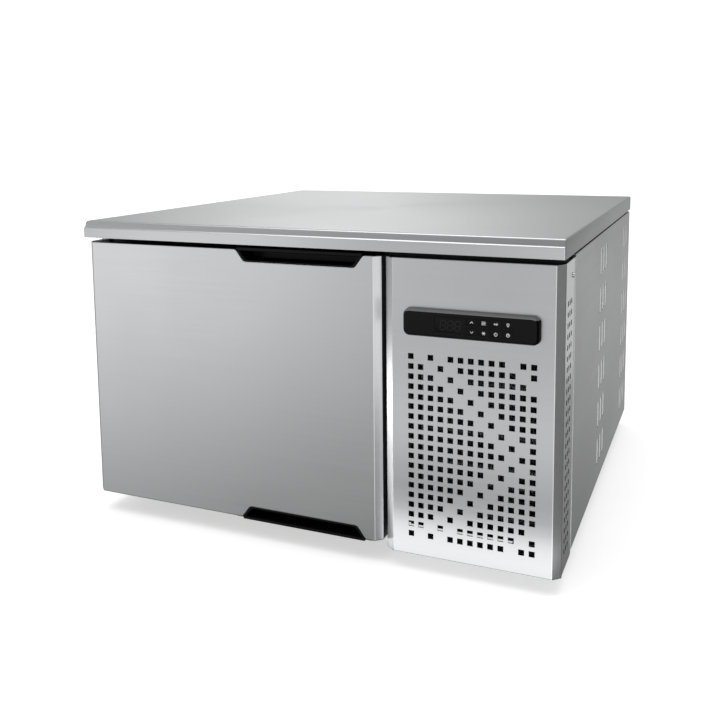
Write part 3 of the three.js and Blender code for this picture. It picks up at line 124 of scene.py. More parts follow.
class Graph:
    """The node tree of one material or of the world."""

    def __init__(self, tree: bpy.types.NodeTree) -> None:
        """Empties a tree and keeps it."""
        self.tree = tree
        tree.nodes.clear()

    def node(
        self, kind: str, settings: dict | None = None, inputs: dict | None = None, output: int | str = 0
    ) -> Value:
        """Adds a node: its settings come first, then the values and links of its sockets.

        Args:
            kind: Blender's name of the node's type.
            settings: Properties of the node; "stops" holds a ramp's positions and colours.
            inputs: Values or linked outputs, by socket name or number.
            output: The output that is wanted.

        Returns:
            That output.
        """
        node = self.tree.nodes.new(kind)
        for name, setting in (settings or {}).items():
            if name == "stops":
                for index, (position, colour) in enumerate(setting):
                    stops = node.color_ramp.elements
                    stop = stops[index] if index < len(stops) else stops.new(position)
                    stop.position = position
                    stop.color = (*colour, 1)
            else:
                setattr(node, name, setting)
        for name, value in (inputs or {}).items():
            if isinstance(value, Value):
                self.tree.links.new(value.socket, node.inputs[name])
            else:
                node.inputs[name].default_value = value
        return Value(self, node.outputs[output]) if node.outputs else Value(self, None)

    def place(self, scale: tuple[float, float, float]) -> Value:
        """The object's own coordinates, stretched.

        Args:
            scale: Repeats per metre along X, Y and Z.

        Returns:
            The coordinates.
        """
        coordinates = self.node("ShaderNodeTexCoord", output="Object")
        return self.node("ShaderNodeMapping", {}, {"Vector": coordinates, "Scale": scale})

    def noise(self, scale: tuple[float, float, float], detail: float = 2) -> Value:
        """Soft random values from 0 to 1 over the object.

        Args:
            scale: Repeats per metre along X, Y and Z.
            detail: Octaves.

        Returns:
            The noise.
        """
        inputs = {"Vector": self.place(scale), "Scale": 1.0, "Detail": detail}
        return self.node("ShaderNodeTexNoise", {}, inputs)

    def blend(self, factor: Value | float, first: Sequence[float], second: Sequence[float]) -> Value:
        """A colour between two others.

        Args:
            factor: Share of the second.
            first: Red, green and blue.
            second: Red, green and blue.

        Returns:
            The colour.
        """
        inputs = {0: factor, 6: (*first, 1), 7: (*second, 1)}
        return self.node("ShaderNodeMix", {"data_type": "RGBA"}, inputs, output=2)

    def bump(self, height: Value, strength: float, distance: float) -> Value:
        """A surface normal from a height.

        Args:
            height: Height from 0 to 1.
            strength: How much of it shows.
            distance: Real height in metres.

        Returns:
            The normal.
        """
        inputs = {"Height": height, "Strength": strength, "Distance": distance}
        return self.node("ShaderNodeBump", {}, inputs)

    def surface(self, inputs: dict) -> None:
        """Ends the graph in a Principled shader with the given sockets."""
        shader = self.node("ShaderNodeBsdfPrincipled", {}, inputs)
        self.node("ShaderNodeOutputMaterial", {}, {"Surface": shader})


# ------------------------------------------------------------------ finishes


class Grain(Enum):
    """The way that a sheet was brushed, as repeats per metre of its fine lines."""

    ACROSS = (9.0, 1700.0, 1700.0)
    DEPTH = (1700.0, 9.0, 1700.0)
    UPRIGHT = (1700.0, 1700.0, 9.0)


def shade(colour: Sequence[float], factor: float) -> tuple[float, ...]:
    """A colour made lighter or darker by a factor."""
    return tuple(min(1.0, channel * factor) for channel in colour)


@dataclass(frozen=True)
class Finish:
    """A plain moulded or painted finish with a fine skin."""

    name: str
    colour: tuple[float, float, float]
    roughness: float = 0.5
    metallic: float = 0.0
    skin: float = 900.0
    depth: float = 0.02 * MM
    strength: float = 0.2
    coat: float = 0.0
    gloss: float = 0.5

    def material(self) -> bpy.types.Material:
        """The material, made the first time it is asked for.

        Returns:
            The material.
        """
        known = bpy.data.materials.get(self.name)
        if known:
            return known
        material = bpy.data.materials.new(self.name)
        material.use_nodes = True
        material.diffuse_color = (*self.colour, 1)
        self.draw(Graph(material.node_tree))
        return material

    def draw(self, graph: Graph) -> None:
        """Draws the finish: a fine pebbled skin, with soft changes of tone and gloss over it.

        Args:
            graph: The material's node tree.
        """
        fine = graph.noise((self.skin,) * 3)
        broad = graph.noise((14.0,) * 3, 3)
        graph.surface(
            {
                "Base Color": graph.blend(broad, shade(self.colour, 0.88), shade(self.colour, 1.1)),
                "Metallic": self.metallic,
                "Roughness": fine * 0.06 + broad * 0.08 + (self.roughness - 0.07),
                "Coat Weight": self.coat,
                "Specular IOR Level": self.gloss,
                "Normal": graph.bump(fine, self.strength, self.depth),
            }
        )


@dataclass(frozen=True)
class BrushedSteel(Finish):
    """Stainless sheet with fine brushed lines along one direction."""

    metallic: float = 1.0
    roughness: float = 0.3
    grain: Grain = Grain.ACROSS
    anisotropy: float = 0.35

    def draw(self, graph: Graph) -> None:
        """Draws hairlines, broader streaks that follow them, and faint clouds of wiping.

        Args:
            graph: The material's node tree.
        """
        hairs = graph.noise(self.grain.value, 3)
        broader = tuple(repeats / (11 if repeats > 100 else 2.5) for repeats in self.grain.value)
        streaks = graph.noise(broader, 2)
        clouds = graph.noise((7.0, 5.0, 6.0), 2)
        tone = hairs * 0.35 + streaks * 0.4 + clouds * 0.25
        graph.surface(
            {
                "Base Color": graph.blend(tone, shade(self.colour, 0.93), shade(self.colour, 1.06)),
                "Metallic": self.metallic,
                "Roughness": hairs * 0.07 + streaks * 0.05 + clouds * 0.07 + (self.roughness - 0.09),
                "Anisotropic": self.anisotropy,
                "Normal": graph.bump(hairs * 0.6 + streaks * 0.4, 0.12, 0.03 * MM),
            }
        )


@dataclass(frozen=True)
class FoamFinish(Finish):
    """Rigid insulation with open cells at its cut face."""

    def draw(self, graph: Graph) -> None:
        """Draws the cells as pits between the walls of a cell pattern.

        Args:
            graph: The material's node tree.
        """
        inputs = {"Vector": graph.place((600.0,) * 3), "Scale": 1.0}
        cells = graph.node("ShaderNodeTexVoronoi", {"feature": "DISTANCE_TO_EDGE"}, inputs)
        tone = graph.noise((20.0,) * 3, 3)
        graph.surface(
            {
                "Base Color": graph.blend(tone, shade(self.colour, 0.85), shade(self.colour, 1.08)),
                "Roughness": self.roughness,
                "Normal": graph.bump(cells, 0.5, 0.4 * MM),
            }
        )


@dataclass(frozen=True)
class BoardFinish(Finish):
    """Pressed board with chips of several tones."""

    def draw(self, graph: Graph) -> None:
        """Draws chips as cells, stretched along X, each with its own tone.

        Args:
            graph: The material's node tree.
        """
        inputs = {"Vector": graph.place((70.0, 180.0, 260.0)), "Scale": 1.0}
        chips = graph.node("ShaderNodeTexVoronoi", {}, inputs)
        graph.surface(
            {
                "Base Color": graph.blend(chips, shade(self.colour, 0.6), shade(self.colour, 1.3)),
                "Roughness": self.roughness,
                "Normal": graph.bump(chips, 0.4, 0.3 * MM),
            }
        )


STEEL = (0.60, 0.605, 0.612)
FRONT_STEEL = BrushedSteel("steel_front", STEEL)
TOP_STEEL = BrushedSteel("steel_worktop", STEEL, roughness=0.32)
SIDE_STEEL = BrushedSteel("steel_side", STEEL, grain=Grain.DEPTH)
BLADE_STEEL = BrushedSteel("steel_louvre", (0.66, 0.665, 0.67), roughness=0.36, grain=Grain.UPRIGHT)
CELL_STEEL = BrushedSteel("steel_cell", (0.58, 0.585, 0.59), roughness=0.34, grain=Grain.DEPTH)
FRAME_STEEL = BrushedSteel("steel_frame", (0.56, 0.565, 0.57), roughness=0.34)
POLISHED = BrushedSteel("steel_turned", (0.66, 0.66, 0.665), roughness=0.2)
ZINC = Finish("zinc_plate", (0.30, 0.31, 0.31), 0.5, 0.9, 120.0, 0.02 * MM)
BLACK = Finish("black_moulding", (0.0022, 0.0022, 0.0023), 0.34, skin=1500.0, gloss=0.14)
BEZEL_BLACK = Finish("black_bezel", (0.0028, 0.0028, 0.003), 0.32, skin=2200.0, strength=0.1, gloss=0.16)
# Lighter grey on the bezel's upper bevel: a painted highlight of the light from above.
PAINTED_HIGHLIGHT_BEVEL = Finish("satin_bevel", (0.15, 0.15, 0.152), 0.42, skin=2200.0, strength=0.1)
# Darker, duller black on the bezel's right-hand bevel: painted shade.
PAINTED_SHADE_BEVEL = Finish("dull_bevel", (0.0015, 0.0015, 0.0016), 0.5, skin=2200.0, strength=0.1, gloss=0.03)
LENS = replace(BEZEL_BLACK, name="display_window")
SEGMENT = Finish("unlit_segment", (0.011, 0.011, 0.0115), 0.5, gloss=0.3)
PRINT = Finish("white_print", (0.86, 0.87, 0.88), 0.55)
GREY = Finish("grey_moulding", (0.34, 0.35, 0.36), 0.5)
# Black rubber of the feet; also painted shade on the cover's return and on the dark strips behind the cover.
RUBBER_AND_PAINTED_SHADE = Finish("black_rubber", (0.018, 0.018, 0.019), 0.7, skin=500.0, depth=0.06 * MM)
GASKET = Finish("grey_gasket", (0.05, 0.051, 0.053), 0.55, skin=300.0, depth=0.03 * MM)
PAINT = Finish("black_paint", (0.014, 0.015, 0.017), 0.38, 0.2, 350.0, 0.06 * MM, coat=0.3)
FIN = Finish("aluminium_fin", (0.62, 0.63, 0.64), 0.4, 0.95, 80.0, 0.05 * MM)
COPPER = Finish("copper_tube", (0.62, 0.27, 0.14), 0.32, 1.0, 60.0, 0.03 * MM)
FOAM = FoamFinish("insulation", (0.76, 0.66, 0.40), 0.9)
# Near-black core board: painted shade, so that the gap under the worktop stays dark.
BOARD_PAINTED_SHADE = BoardFinish("core_board", (0.012, 0.011, 0.010), 0.85)
# Near-black slot edges: partly oxide of the cut, mostly painted shade inside the slots.
CUT_EDGE_OXIDE_AND_PAINTED_SHADE = Finish("burnt_cut_edge", (0.012, 0.011, 0.0105), 0.8, skin=2500.0, gloss=0.2)


# ------------------------------------------------------------------ surfaces


def strip(count: int, closed: bool) -> np.ndarray:
    """Pairs of neighbours in a row of points.

    Args:
        count: Number of points.
        closed: Whether the last is joined to the first.

    Returns:
        Two columns of numbers.
    """
    first = np.arange(count if closed else count - 1)
    return np.stack([first, (first + 1) % count], axis=1)


def quads(rows: int, columns: int, wrap_rows: bool, wrap_columns: bool) -> np.ndarray:
    """Faces of a grid of points, each from one corner round to the next.

    Args:
        rows: Points down the grid.
        columns: Points across it.
        wrap_rows: Whether the last row is joined to the first.
        wrap_columns: Whether the last column is joined to the first.

    Returns:
        Four columns of point numbers.
    """
    down = strip(rows, wrap_rows)[:, None, :]
    across = strip(columns, wrap_columns)[None, :, :]
    corners = ((0, 0), (0, 1), (1, 1), (1, 0))
    return np.stack([(down[..., r] * columns + across[..., c]).reshape(-1) for r, c in corners], axis=1)


def loft(rings: np.ndarray, capped: bool = True, round_trip: bool = False) -> Mesh:
    """A closed surface through closed rings: P(i, j) is point j of ring i.

    Args:
        rings: Points, as ring, place in the ring, coordinate.
        capped: Whether the first and the last ring are closed with a face.
        round_trip: Whether the last ring is joined to the first, so that neither has a face.

    Returns:
        The mesh.
    """
    count, size = rings.shape[:2]
    faces = [tuple(face) for face in quads(count, size, round_trip, True).tolist()]
    if capped and not round_trip:
        faces += [tuple(range(size - 1, -1, -1)), tuple(range((count - 1) * size, count * size))]
    return rings.reshape(-1, 3), faces


def shell(outer: np.ndarray, inner: np.ndarray, keep: np.ndarray | None = None) -> Mesh:
    """A sheet between two grids of points, with its rims, where some cells may be left out.

    Each kept cell gives an outer and an inner face, and each of its four sides that has no kept
    neighbour gives a rim face through the thickness.

    Args:
        outer: Points of the outer side, as row, column, coordinate.
        inner: Matching points of the inner side.
        keep: Whether each cell between the points is there.

    Returns:
        The mesh.
    """
    rows, columns = outer.shape[:2]
    keep = np.ones((rows - 1, columns - 1), bool) if keep is None else keep
    cells = quads(rows, columns, False, False)[keep.reshape(-1)]
    total = rows * columns
    padded = np.pad(keep, 1)
    rims = []
    for side, neighbour in enumerate(((-1, 0), (0, 1), (1, 0), (0, -1))):
        beside = padded[1 + neighbour[0] : rows + neighbour[0], 1 + neighbour[1] : columns + neighbour[1]]
        bare = (keep & ~beside).reshape(-1)[keep.reshape(-1)]
        start, end = cells[bare, side], cells[bare, (side + 1) % 4]
        rims.append(np.stack([end, start, start + total, end + total], axis=1))
    faces = np.concatenate([cells, cells[:, ::-1] + total, *rims])
    points = np.concatenate([outer.reshape(-1, 3), inner.reshape(-1, 3)])
    used, numbers = np.unique(faces, return_inverse=True)
    return points[used], [tuple(face) for face in numbers.reshape(-1, 4).tolist()]


def joined(meshes: Iterable[Mesh]) -> Mesh:
    """Several meshes as one, with the later ones' point numbers moved on.

    Args:
        meshes: The meshes.

    Returns:
        The mesh.
    """
    points, faces, total = [], [], 0
    for some_points, some_faces in meshes:
        points.append(some_points)
        faces.extend(tuple(number + total for number in face) for face in some_faces)
        total += len(some_points)
    return np.concatenate(points), faces


def moved(mesh: Mesh, offset: Sequence[float]) -> Mesh:
    """The mesh moved by an offset."""
    return mesh[0] + np.asarray(offset), mesh[1]


def turned_over(mesh: Mesh, level: float) -> Mesh:
    """The mesh reflected in a level plane, with its faces turned so that they still point out."""
    points = mesh[0].copy()
    points[:, 2] = 2 * level - points[:, 2]
    return points, [tuple(reversed(face)) for face in mesh[1]]


def rounded_path(corners: Points, radii: float | Sequence[float], steps: int = 5) -> np.ndarray:
    """An open line through corners, each rounded with an arc that touches both of its sides.

    An arc of radius r in a corner of half-angle h starts r / tan(h) before the corner, and its
    centre lies r / sin(h) from it on the bisector. A support point just outside each end of an
    arc keeps the flats beside it flat in the shading.

    Args:
        corners: Corner points.
        radii: Radius of every inner corner, or one for each.
        steps: Steps in an arc.

    Returns:
        Points along the line.
    """
    places = np.asarray(corners, float)
    radii = np.broadcast_to(radii, len(places) - 2)
    line = [places[:1]]
    for index, radius in enumerate(radii, start=1):
        before = places[index - 1] - places[index]
        after = places[index + 1] - places[index]
        before, after = before / np.linalg.norm(before), after / np.linalg.norm(after)
        half = math.acos(np.clip(before @ after, -1, 1)) / 2
        middle = (before + after) / np.linalg.norm(before + after)
        centre = places[index] + middle * radius / math.sin(half)
        reach = radius / math.tan(half)
        start, end = places[index] + before * reach, places[index] + after * reach
        share = np.linspace(0, 1, steps + 1)[:, None]
        sweep = math.pi - 2 * half
        weights = np.sin((1 - share) * sweep), np.sin(share * sweep)
        arc = centre + (weights[0] * (start - centre) + weights[1] * (end - centre)) / math.sin(sweep)
        support = min(0.4 * MM, radius / 4)
        line += [start + before * support, arc, end + after * support]
    line.append(places[-1:])
    return np.concatenate([np.atleast_2d(part) for part in line])


def beside(path: np.ndarray, distance: float) -> np.ndarray:
    """An open line moved sideways, to its left, with mitred corners.

    Each point moves along the mean of its two sides' normals by distance / cos(half the turn).

    Args:
        path: Points of the line.
        distance: How far it moves.

    Returns:
        The moved points.
    """
    sides = np.diff(path, axis=0)
    sides /= np.linalg.norm(sides, axis=1, keepdims=True)
    normals = np.stack([-sides[:, 1], sides[:, 0]], axis=1)
    before = np.concatenate([normals[:1], normals])
    after = np.concatenate([normals, normals[-1:]])
    middle = before + after
    middle /= np.linalg.norm(middle, axis=1, keepdims=True)
    return path + middle * (distance / np.sum(middle * before, axis=1, keepdims=True))


def rounded_rectangle(low: Point, high: Point, radius: float, steps: int = 4) -> np.ndarray:
    """A closed anticlockwise rectangle with quarter-circle corners.

    Args:
        low: Lower left corner.
        high: Upper right corner.
        radius: Radius of the corners.
        steps: Steps in each corner.

    Returns:
        Points round it, without a repeated last one.
    """
    low, high = np.asarray(low, float), np.asarray(high, float)
    near, far = low + radius, high - radius
    centres = np.array([[far[0], near[1]], far, [near[0], far[1]], near])
    starts = np.radians([-90, 0, 90, 180])
    angles = starts[:, None] + np.linspace(0, math.pi / 2, steps + 1)
    arcs = centres[:, None, :] + radius * np.stack([np.cos(angles), np.sin(angles)], axis=2)
    return arcs.reshape(-1, 2)


def shade_faces(holder: bpy.types.Object, finish: Finish, choose: Choice) -> None:
    """Gives some faces of an object another finish.

    Args:
        holder: The object.
        finish: The faces' finish.
        choose: Tells from the faces' normals and middles which ones it is for.
    """
    data = holder.data
    normals, middles = np.empty((2, len(data.polygons) * 3))
    data.polygons.foreach_get("normal", normals)
    data.polygons.foreach_get("center", middles)
    shades = np.empty(len(data.polygons), np.int32)
    data.polygons.foreach_get("material_index", shades)
    shades[choose(normals.reshape(-1, 3), middles.reshape(-1, 3))] = len(data.materials)
    data.materials.append(finish.material())
    data.polygons.foreach_set("material_index", shades)


def edge_inset(distance: float | np.ndarray) -> float | np.ndarray:
    """How far a sheet's outer face lies back near its rounded edge: r - sqrt(r^2 - (r - d)^2)."""
    short = np.clip(EDGE_RADIUS - distance, 0, 0.97 * EDGE_RADIUS)
    return EDGE_RADIUS - np.sqrt(EDGE_RADIUS**2 - short**2)


def facing_front(ring: np.ndarray, depth: float) -> np.ndarray:
    """A line of X and Z points, set at one depth."""
    return np.stack([ring[:, 0], np.full(len(ring), depth), ring[:, 1]], axis=1)


def lying(ring: np.ndarray, level: float) -> np.ndarray:
    """A line of X and Y points, set at one level."""
    return np.stack([ring[:, 0], ring[:, 1], np.full(len(ring), level)], axis=1)


def front_ring(
    low: np.ndarray, high: np.ndarray, inset: float, depth: float, radius: float, steps: int
) -> np.ndarray:
    """A rounded rectangle that faces the front, inside the sides of a box.

    Args:
        low: Lowest corner of the box.
        high: Highest corner.
        inset: How far the rectangle lies inside it.
        depth: Y of the rectangle.
        radius: Radius of its corners.
        steps: Steps in each corner.

    Returns:
        Points round it.
    """
    return facing_front(rounded_rectangle(low[XZ] + inset, high[XZ] - inset, radius, steps), depth)


def folded_sheet(line: np.ndarray, depths: Sequence[float], keep: np.ndarray | None = None) -> Mesh:
    """A sheet folded along a line in X and Z, in the sense that leaves its left side inside.

    Args:
        line: Outer line of the fold.
        depths: Y of its stations.
        keep: Whether each cell between the points is there.

    Returns:
        The mesh.
    """
    outer, inner = (
        np.stack([facing_front(side, depth) for depth in depths]) for side in (line, beside(line, SHEET))
    )
    return shell(outer, inner, keep)


def lengths(line: np.ndarray) -> np.ndarray:
    """How far along a line each of its points lies."""
    return np.concatenate([[0], np.cumsum(np.linalg.norm(np.diff(line, axis=0), axis=1))])


def along_face(plan: np.ndarray, face: float, x: np.ndarray) -> np.ndarray:
    """How far along a folded sheet's plan the places of given X lie on its face, whose Y is given."""
    start = np.flatnonzero(plan[:, 1] < face + ON_PLANE)[0]
    return lengths(plan)[start] + x - plan[start, 0]


def divided(line: np.ndarray, places: np.ndarray) -> np.ndarray:
    """A line with further points on it.

    Args:
        line: Its points.
        places: How far along it the further points lie.

    Returns:
        All of its points.
    """
    length = lengths(line)
    stations = np.unique(np.round(np.concatenate([length, places]), 8))
    return np.stack([np.interp(stations, length, line[:, k]) for k in (0, 1)], axis=1)


def lathe(profile: Points, at: Point, axis: str = "z", segments: int = 48) -> Mesh:
    """A turned surface: P(i, a) = (r_i cos a, r_i sin a, h_i), laid along an axis.

    A profile that starts and ends on the axis closes by itself; any other is joined end to start.

    Args:
        profile: Radius and height of each point.
        at: Where the profile's origin lies.
        axis: Name of the axis.
        segments: Steps round the axis.

    Returns:
        The mesh.
    """
    radius, height = np.asarray(profile, float).T
    angle = np.linspace(0, 2 * math.pi, segments, endpoint=False)
    along = np.repeat(height[:, None], segments, axis=1)
    first, second = radius[:, None] * np.cos(angle), radius[:, None] * np.sin(angle)
    order = {"z": (first, second, along), "x": (along, first, second), "y": (second, along, first)}[axis]
    solid = radius[0] == 0
    return moved(loft(np.stack(order, axis=2), capped=False, round_trip=not solid), at)


def tube(path: np.ndarray, radius: float, sides: int = 10, closed: bool = False) -> Mesh:
    """A round bar carried along a line: P(i, a) = p_i + r (cos a n_i + sin a b_i).

    Args:
        path: Points of the line.
        radius: Radius of the bar.
        sides: Steps round it.
        closed: Whether the line is joined end to start.

    Returns:
        The mesh.
    """
    ahead = np.roll(path, -1, axis=0) - np.roll(path, 1, axis=0)
    if not closed:
        ahead[0], ahead[-1] = path[1] - path[0], path[-1] - path[-2]
    ahead /= np.linalg.norm(ahead, axis=1, keepdims=True)
    helper = np.array([0, 1, 0]) if abs(ahead[:, 1]).max() < 0.9 else np.array([0.3, 0.1, 1])
    side = np.cross(ahead, helper)
    side /= np.linalg.norm(side, axis=1, keepdims=True)
    up = np.cross(side, ahead)
    angle = np.linspace(0, 2 * math.pi, sides, endpoint=False)[None, :, None]
    rings = path[:, None, :] + radius * (np.cos(angle) * side[:, None, :] + np.sin(angle) * up[:, None, :])
    return loft(rings, round_trip=closed)


def slab(low: Point, high: Point, radius: float = 0.4 * MM) -> Mesh:
    """A block whose upright and level edges are rounded, as a loft of rounded rectangles along Z.

    Args:
        low: Lowest corner.
        high: Highest corner.
        radius: Radius of the edges.

    Returns:
        The mesh.
    """
    angles = np.linspace(0, math.pi / 2, 4)
    levels = [(low[2] + radius - radius * math.sin(a), radius - radius * math.cos(a)) for a in angles[::-1]]
    levels += [(high[2] - radius + radius * math.sin(a), radius - radius * math.cos(a)) for a in angles]
    rings = [
        lying(rounded_rectangle(np.add(low[:2], inset), np.subtract(high[:2], inset), radius * 1.2), level)
        for level, inset in levels
    ]
    return loft(np.array(rings))


def stroke(line: Points, width: float, depth: Sequence[float]) -> Mesh:
    """A flat printed line of one width, drawn in X and Z between two depths.

    Args:
        line: Points along its middle.
        width: Its width.
        depth: Front and rear.

    Returns:
        The mesh.
    """
    path = np.asarray(line, float)
    edges = np.stack([beside(path, width / 2), beside(path, -width / 2)])
    front = np.stack([facing_front(edge, depth[0]) for edge in edges])
    rear = np.stack([facing_front(edge, depth[1]) for edge in edges])
    return shell(front, rear)


def put(name: str, data: bpy.types.ID) -> bpy.types.Object:
    """Links a new object that holds the given data into the scene."""
    holder = bpy.data.objects.new(name, data)
    bpy.context.collection.objects.link(holder)
    return holder


def put_mesh(name: str, mesh: Mesh) -> bpy.types.Object:
    """Links a new object with the points and faces of a mesh into the scene."""
    data = bpy.data.meshes.new(name)
    data.from_pydata(mesh[0].tolist(), [], mesh[1])
    return put(name, data)


def add(
    name: str, mesh: Mesh, finish: Finish, body: str, replaces: Sequence[str] = ()
) -> bpy.types.Object:
    """Makes a piece of the scene and ties it to the model.

    Args:
        name: The piece's name.
        mesh: Its points and faces.
        finish: Its finish.
        body: The body that it moves with.
        replaces: Solids that it is shown for.

    Returns:
        The object.
    """
    piece = put_mesh(name, mesh)
    weld = piece.modifiers.new("weld", "WELD")
    weld.merge_threshold = SAME_PLACE
    bake(piece)
    piece.data.shade_smooth()
    piece.data.set_sharp_from_angle(angle=SHARP_ANGLE)
    piece.data.materials.append(finish.material())
    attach(piece, body)
    if replaces:
        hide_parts(*replaces)
    LOG.info("%s: %d faces, rides on %s", name, len(piece.data.polygons), body)
    return piece


def bake(piece: bpy.types.Object) -> None:
    """Applies a piece's modifiers to its mesh.

    Args:
        piece: The piece.
    """
    bpy.context.view_layer.update()
    evaluated = piece.evaluated_get(bpy.context.evaluated_depsgraph_get())
    data = bpy.data.meshes.new_from_object(evaluated)
    piece.modifiers.clear()
    old = piece.data
    piece.data = data
    bpy.data.meshes.remove(old)


def cut(piece: bpy.types.Object, cutters: Sequence[Mesh]) -> None:
    """Takes solids away from a piece.

    Args:
        piece: The piece.
        cutters: Closed meshes.
    """
    cutter = put_mesh("cutter", joined(cutters))
    modifier = piece.modifiers.new("cut", "BOOLEAN")
    modifier.object = cutter
    modifier.solver = "EXACT"
    bake(piece)
    piece.data.set_sharp_from_angle(angle=SHARP_ANGLE)
    bpy.data.objects.remove(cutter)


def dress(names: Iterable[str], finish: Finish) -> None:
    """Gives solids that stay as they are their finish.

    Args:
        names: Names of the solids.
        finish: Their finish.
    """
    for name in names:
        node = FRAME["nodes"][name]
        node.data.materials.clear()
        node.data.materials.append(finish.material())
        LOG.info("%s keeps its solid, in %s", name, finish.name)


def span(name: str) -> tuple[np.ndarray, np.ndarray]:
    """Lowest and highest corner of a solid."""
    low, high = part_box(name)
    return np.array(low), np.array(high)


def middle_of(name: str) -> np.ndarray:
    """Middle of a solid's box."""
    low, high = span(name)
    return (low + high) / 2


# ------------------------------------------------------------------ studio


@dataclass(frozen=True)
class Glow:
    """A broad soft light far off."""

    way: tuple[float, float, float]
    tightness: float
    strength: float


@dataclass(frozen=True)
class Card:
    """A glowing card that lights one piece: its middle, the point it faces, its size and its power in watts.

    Its light passes the pieces whose names begin with `through`.
    """

    piece: str
    middle: tuple[float, float, float]
    aim: tuple[float, float, float]
    size: tuple[float, float]
    power: float
    through: str = "floor"


@dataclass
class Studio:
    """Camera, soft light from all round and a plain pale floor."""

    camera_place: tuple[float, float, float] = (0.5582, -1.4361, 0.6083)
    camera_turn: tuple[float, float, float] = (83.212, 0.518, 22.621)
    focal_pixels: float = 860.8
    photo_pixels: float = 713
    shift: tuple[float, float] = (-0.0189, -0.1704)
    sensor: float = 36.0
    nearest: float = 0.05
    floor_size: float = 24.0
    floor_roughness: float = 0.9
    floor_tone: float = 0.9
    floor_glow: float = 0.55
    backdrop: float = 1.05
    dimmest: float = 0.03
    climb: tuple[tuple[float, float], ...] = (
        (-1.0, 0.26),
        (-0.5, 0.08),
        (-0.3, 0.15),
        (-0.15, 0.21),
        (0.0, 0.14),
        (0.15, 0.39),
        (0.3, 0.31),
        (0.5, 0.26),
        (0.7, 0.28),
        (0.85, 0.71),
        (1.0, 2.04),
    )
    glows: tuple[Glow, ...] = (
        Glow((-0.81, -0.42, 0.40), 6, 0.31),
        Glow((-0.97, 0.09, -0.20), 6, 0.20),
        Glow((-0.65, -0.75, -0.12), 30, 1.04),
        Glow((-0.60, -0.72, -0.36), 30, 0.06),
        Glow((-0.47, -0.88, -0.12), 30, 0.30),
        Glow((-0.10, -0.98, -0.15), 30, 0.29),
        Glow((-0.42, 0.85, 0.33), 45, 0.38),
        Glow((-0.30, 0.91, 0.28), 45, 0.30),
        Glow((-0.45, 0.87, 0.18), 45, 0.54),
        Glow((0.15, 0.98, -0.10), 25, 0.24),
        Glow((0.12, 0.95, -0.28), 25, 0.24),
        Glow((-0.50, -0.75, 0.42), 60, 0.20),
        Glow((0.15, -0.98, -0.15), 30, 0.36),
        Glow((0.15, -0.91, -0.38), 30, 0.30),
        Glow((0.33, -0.93, -0.15), 30, 0.41),
        Glow((0.33, -0.86, -0.38), 30, 0.60),
        Glow((0.55, -0.81, -0.20), 30, 0.59),
        Glow((0.74, -0.66, -0.15), 40, 0.68),
        Glow((0.72, -0.58, -0.38), 40, 0.72),
        Glow((-0.35, -0.30, 0.89), 60, 2.50),
    )
    cards: tuple[Card, ...] = (
        Card("cover_sheet", (0.24, -0.455, 0.003), (0.24, -0.455, 1.0), (0.52, 0.13), 0.250),
        Card("cover_sheet", (0.15, -0.95, 0.003), (0.15, -0.95, 1.0), (0.9, 0.45), 0.494),
        Card("cover_sheet", (-0.9, -0.33, -0.2), (0.13, -0.36, 0.2), (0.3, 0.4), 2.600, "door"),
        Card("door_sheet", (1.09, -0.755, 0.2), (0.12, -0.36, 0.24), (0.4, 0.6), 0.726),
        Card("cover_sheet", (0.65, 0.85, 0.25), (0.375, -0.34, 0.3), (0.5, 0.6), 0.349),
    )

    def build(self) -> None:
        """Sets the stage."""
        bpy.context.scene.view_settings.view_transform = "Standard"
        self._camera()
        self._floor()
        self._world()

    def _camera(self) -> None:
        """Puts the camera where the photograph was taken from."""
        camera = bpy.data.cameras.new("camera")
        camera.sensor_width = self.sensor
        camera.lens = self.focal_pixels / self.photo_pixels * self.sensor
        camera.shift_x, camera.shift_y = self.shift
        camera.clip_start = self.nearest
        holder = put("camera", camera)
        holder.location = self.camera_place
        holder.rotation_euler = Euler([math.radians(angle) for angle in self.camera_turn], "XYZ")
        bpy.context.scene.camera = holder

    def _floor(self) -> None:
        """Lays a wide plain floor under the feet."""
        half = self.floor_size / 2
        corners = np.array([[-half, -half, 0], [half, -half, 0], [half, half, 0], [-half, half, 0]])
        floor = put_mesh("floor", (corners, [(0, 1, 2, 3)]))
        material = bpy.data.materials.new("pale_floor")
        material.use_nodes = True
        Graph(material.node_tree).surface(
            {
                "Base Color": (*shade((1, 1, 1), self.floor_tone), 1),
                "Roughness": self.floor_roughness,
                "Emission Color": (1, 1, 1, 1),
                "Emission Strength": self.floor_glow,
            }
        )
        material.cycles.emission_sampling = "NONE"
        floor.data.materials.append(material)
        floor.visible_glossy = floor.visible_shadow = False

    def light(self) -> None:
        """Hangs the cards, each of which lights its own piece only."""
        meshes = [holder for holder in bpy.data.objects if holder.type == "MESH"]
        for card in self.cards:
            lit, screen = bpy.data.collections.new("lit_by_card"), bpy.data.collections.new("screens_card")
            lit.objects.link(bpy.data.objects[card.piece])
            for holder in meshes:
                if not holder.name.startswith(card.through):
                    screen.objects.link(holder)
            lamp = bpy.data.lights.new("card", "AREA")
            lamp.shape = "RECTANGLE"
            lamp.size, lamp.size_y = card.size
            lamp.energy = card.power
            holder = put("card", lamp)
            holder.location = card.middle
            way = Vector(card.aim) - Vector(card.middle)
            holder.rotation_euler = way.to_track_quat("-Z", "Y").to_euler()
            holder.visible_camera = False
            holder.light_linking.receiver_collection = lit
            holder.light_linking.blocker_collection = screen

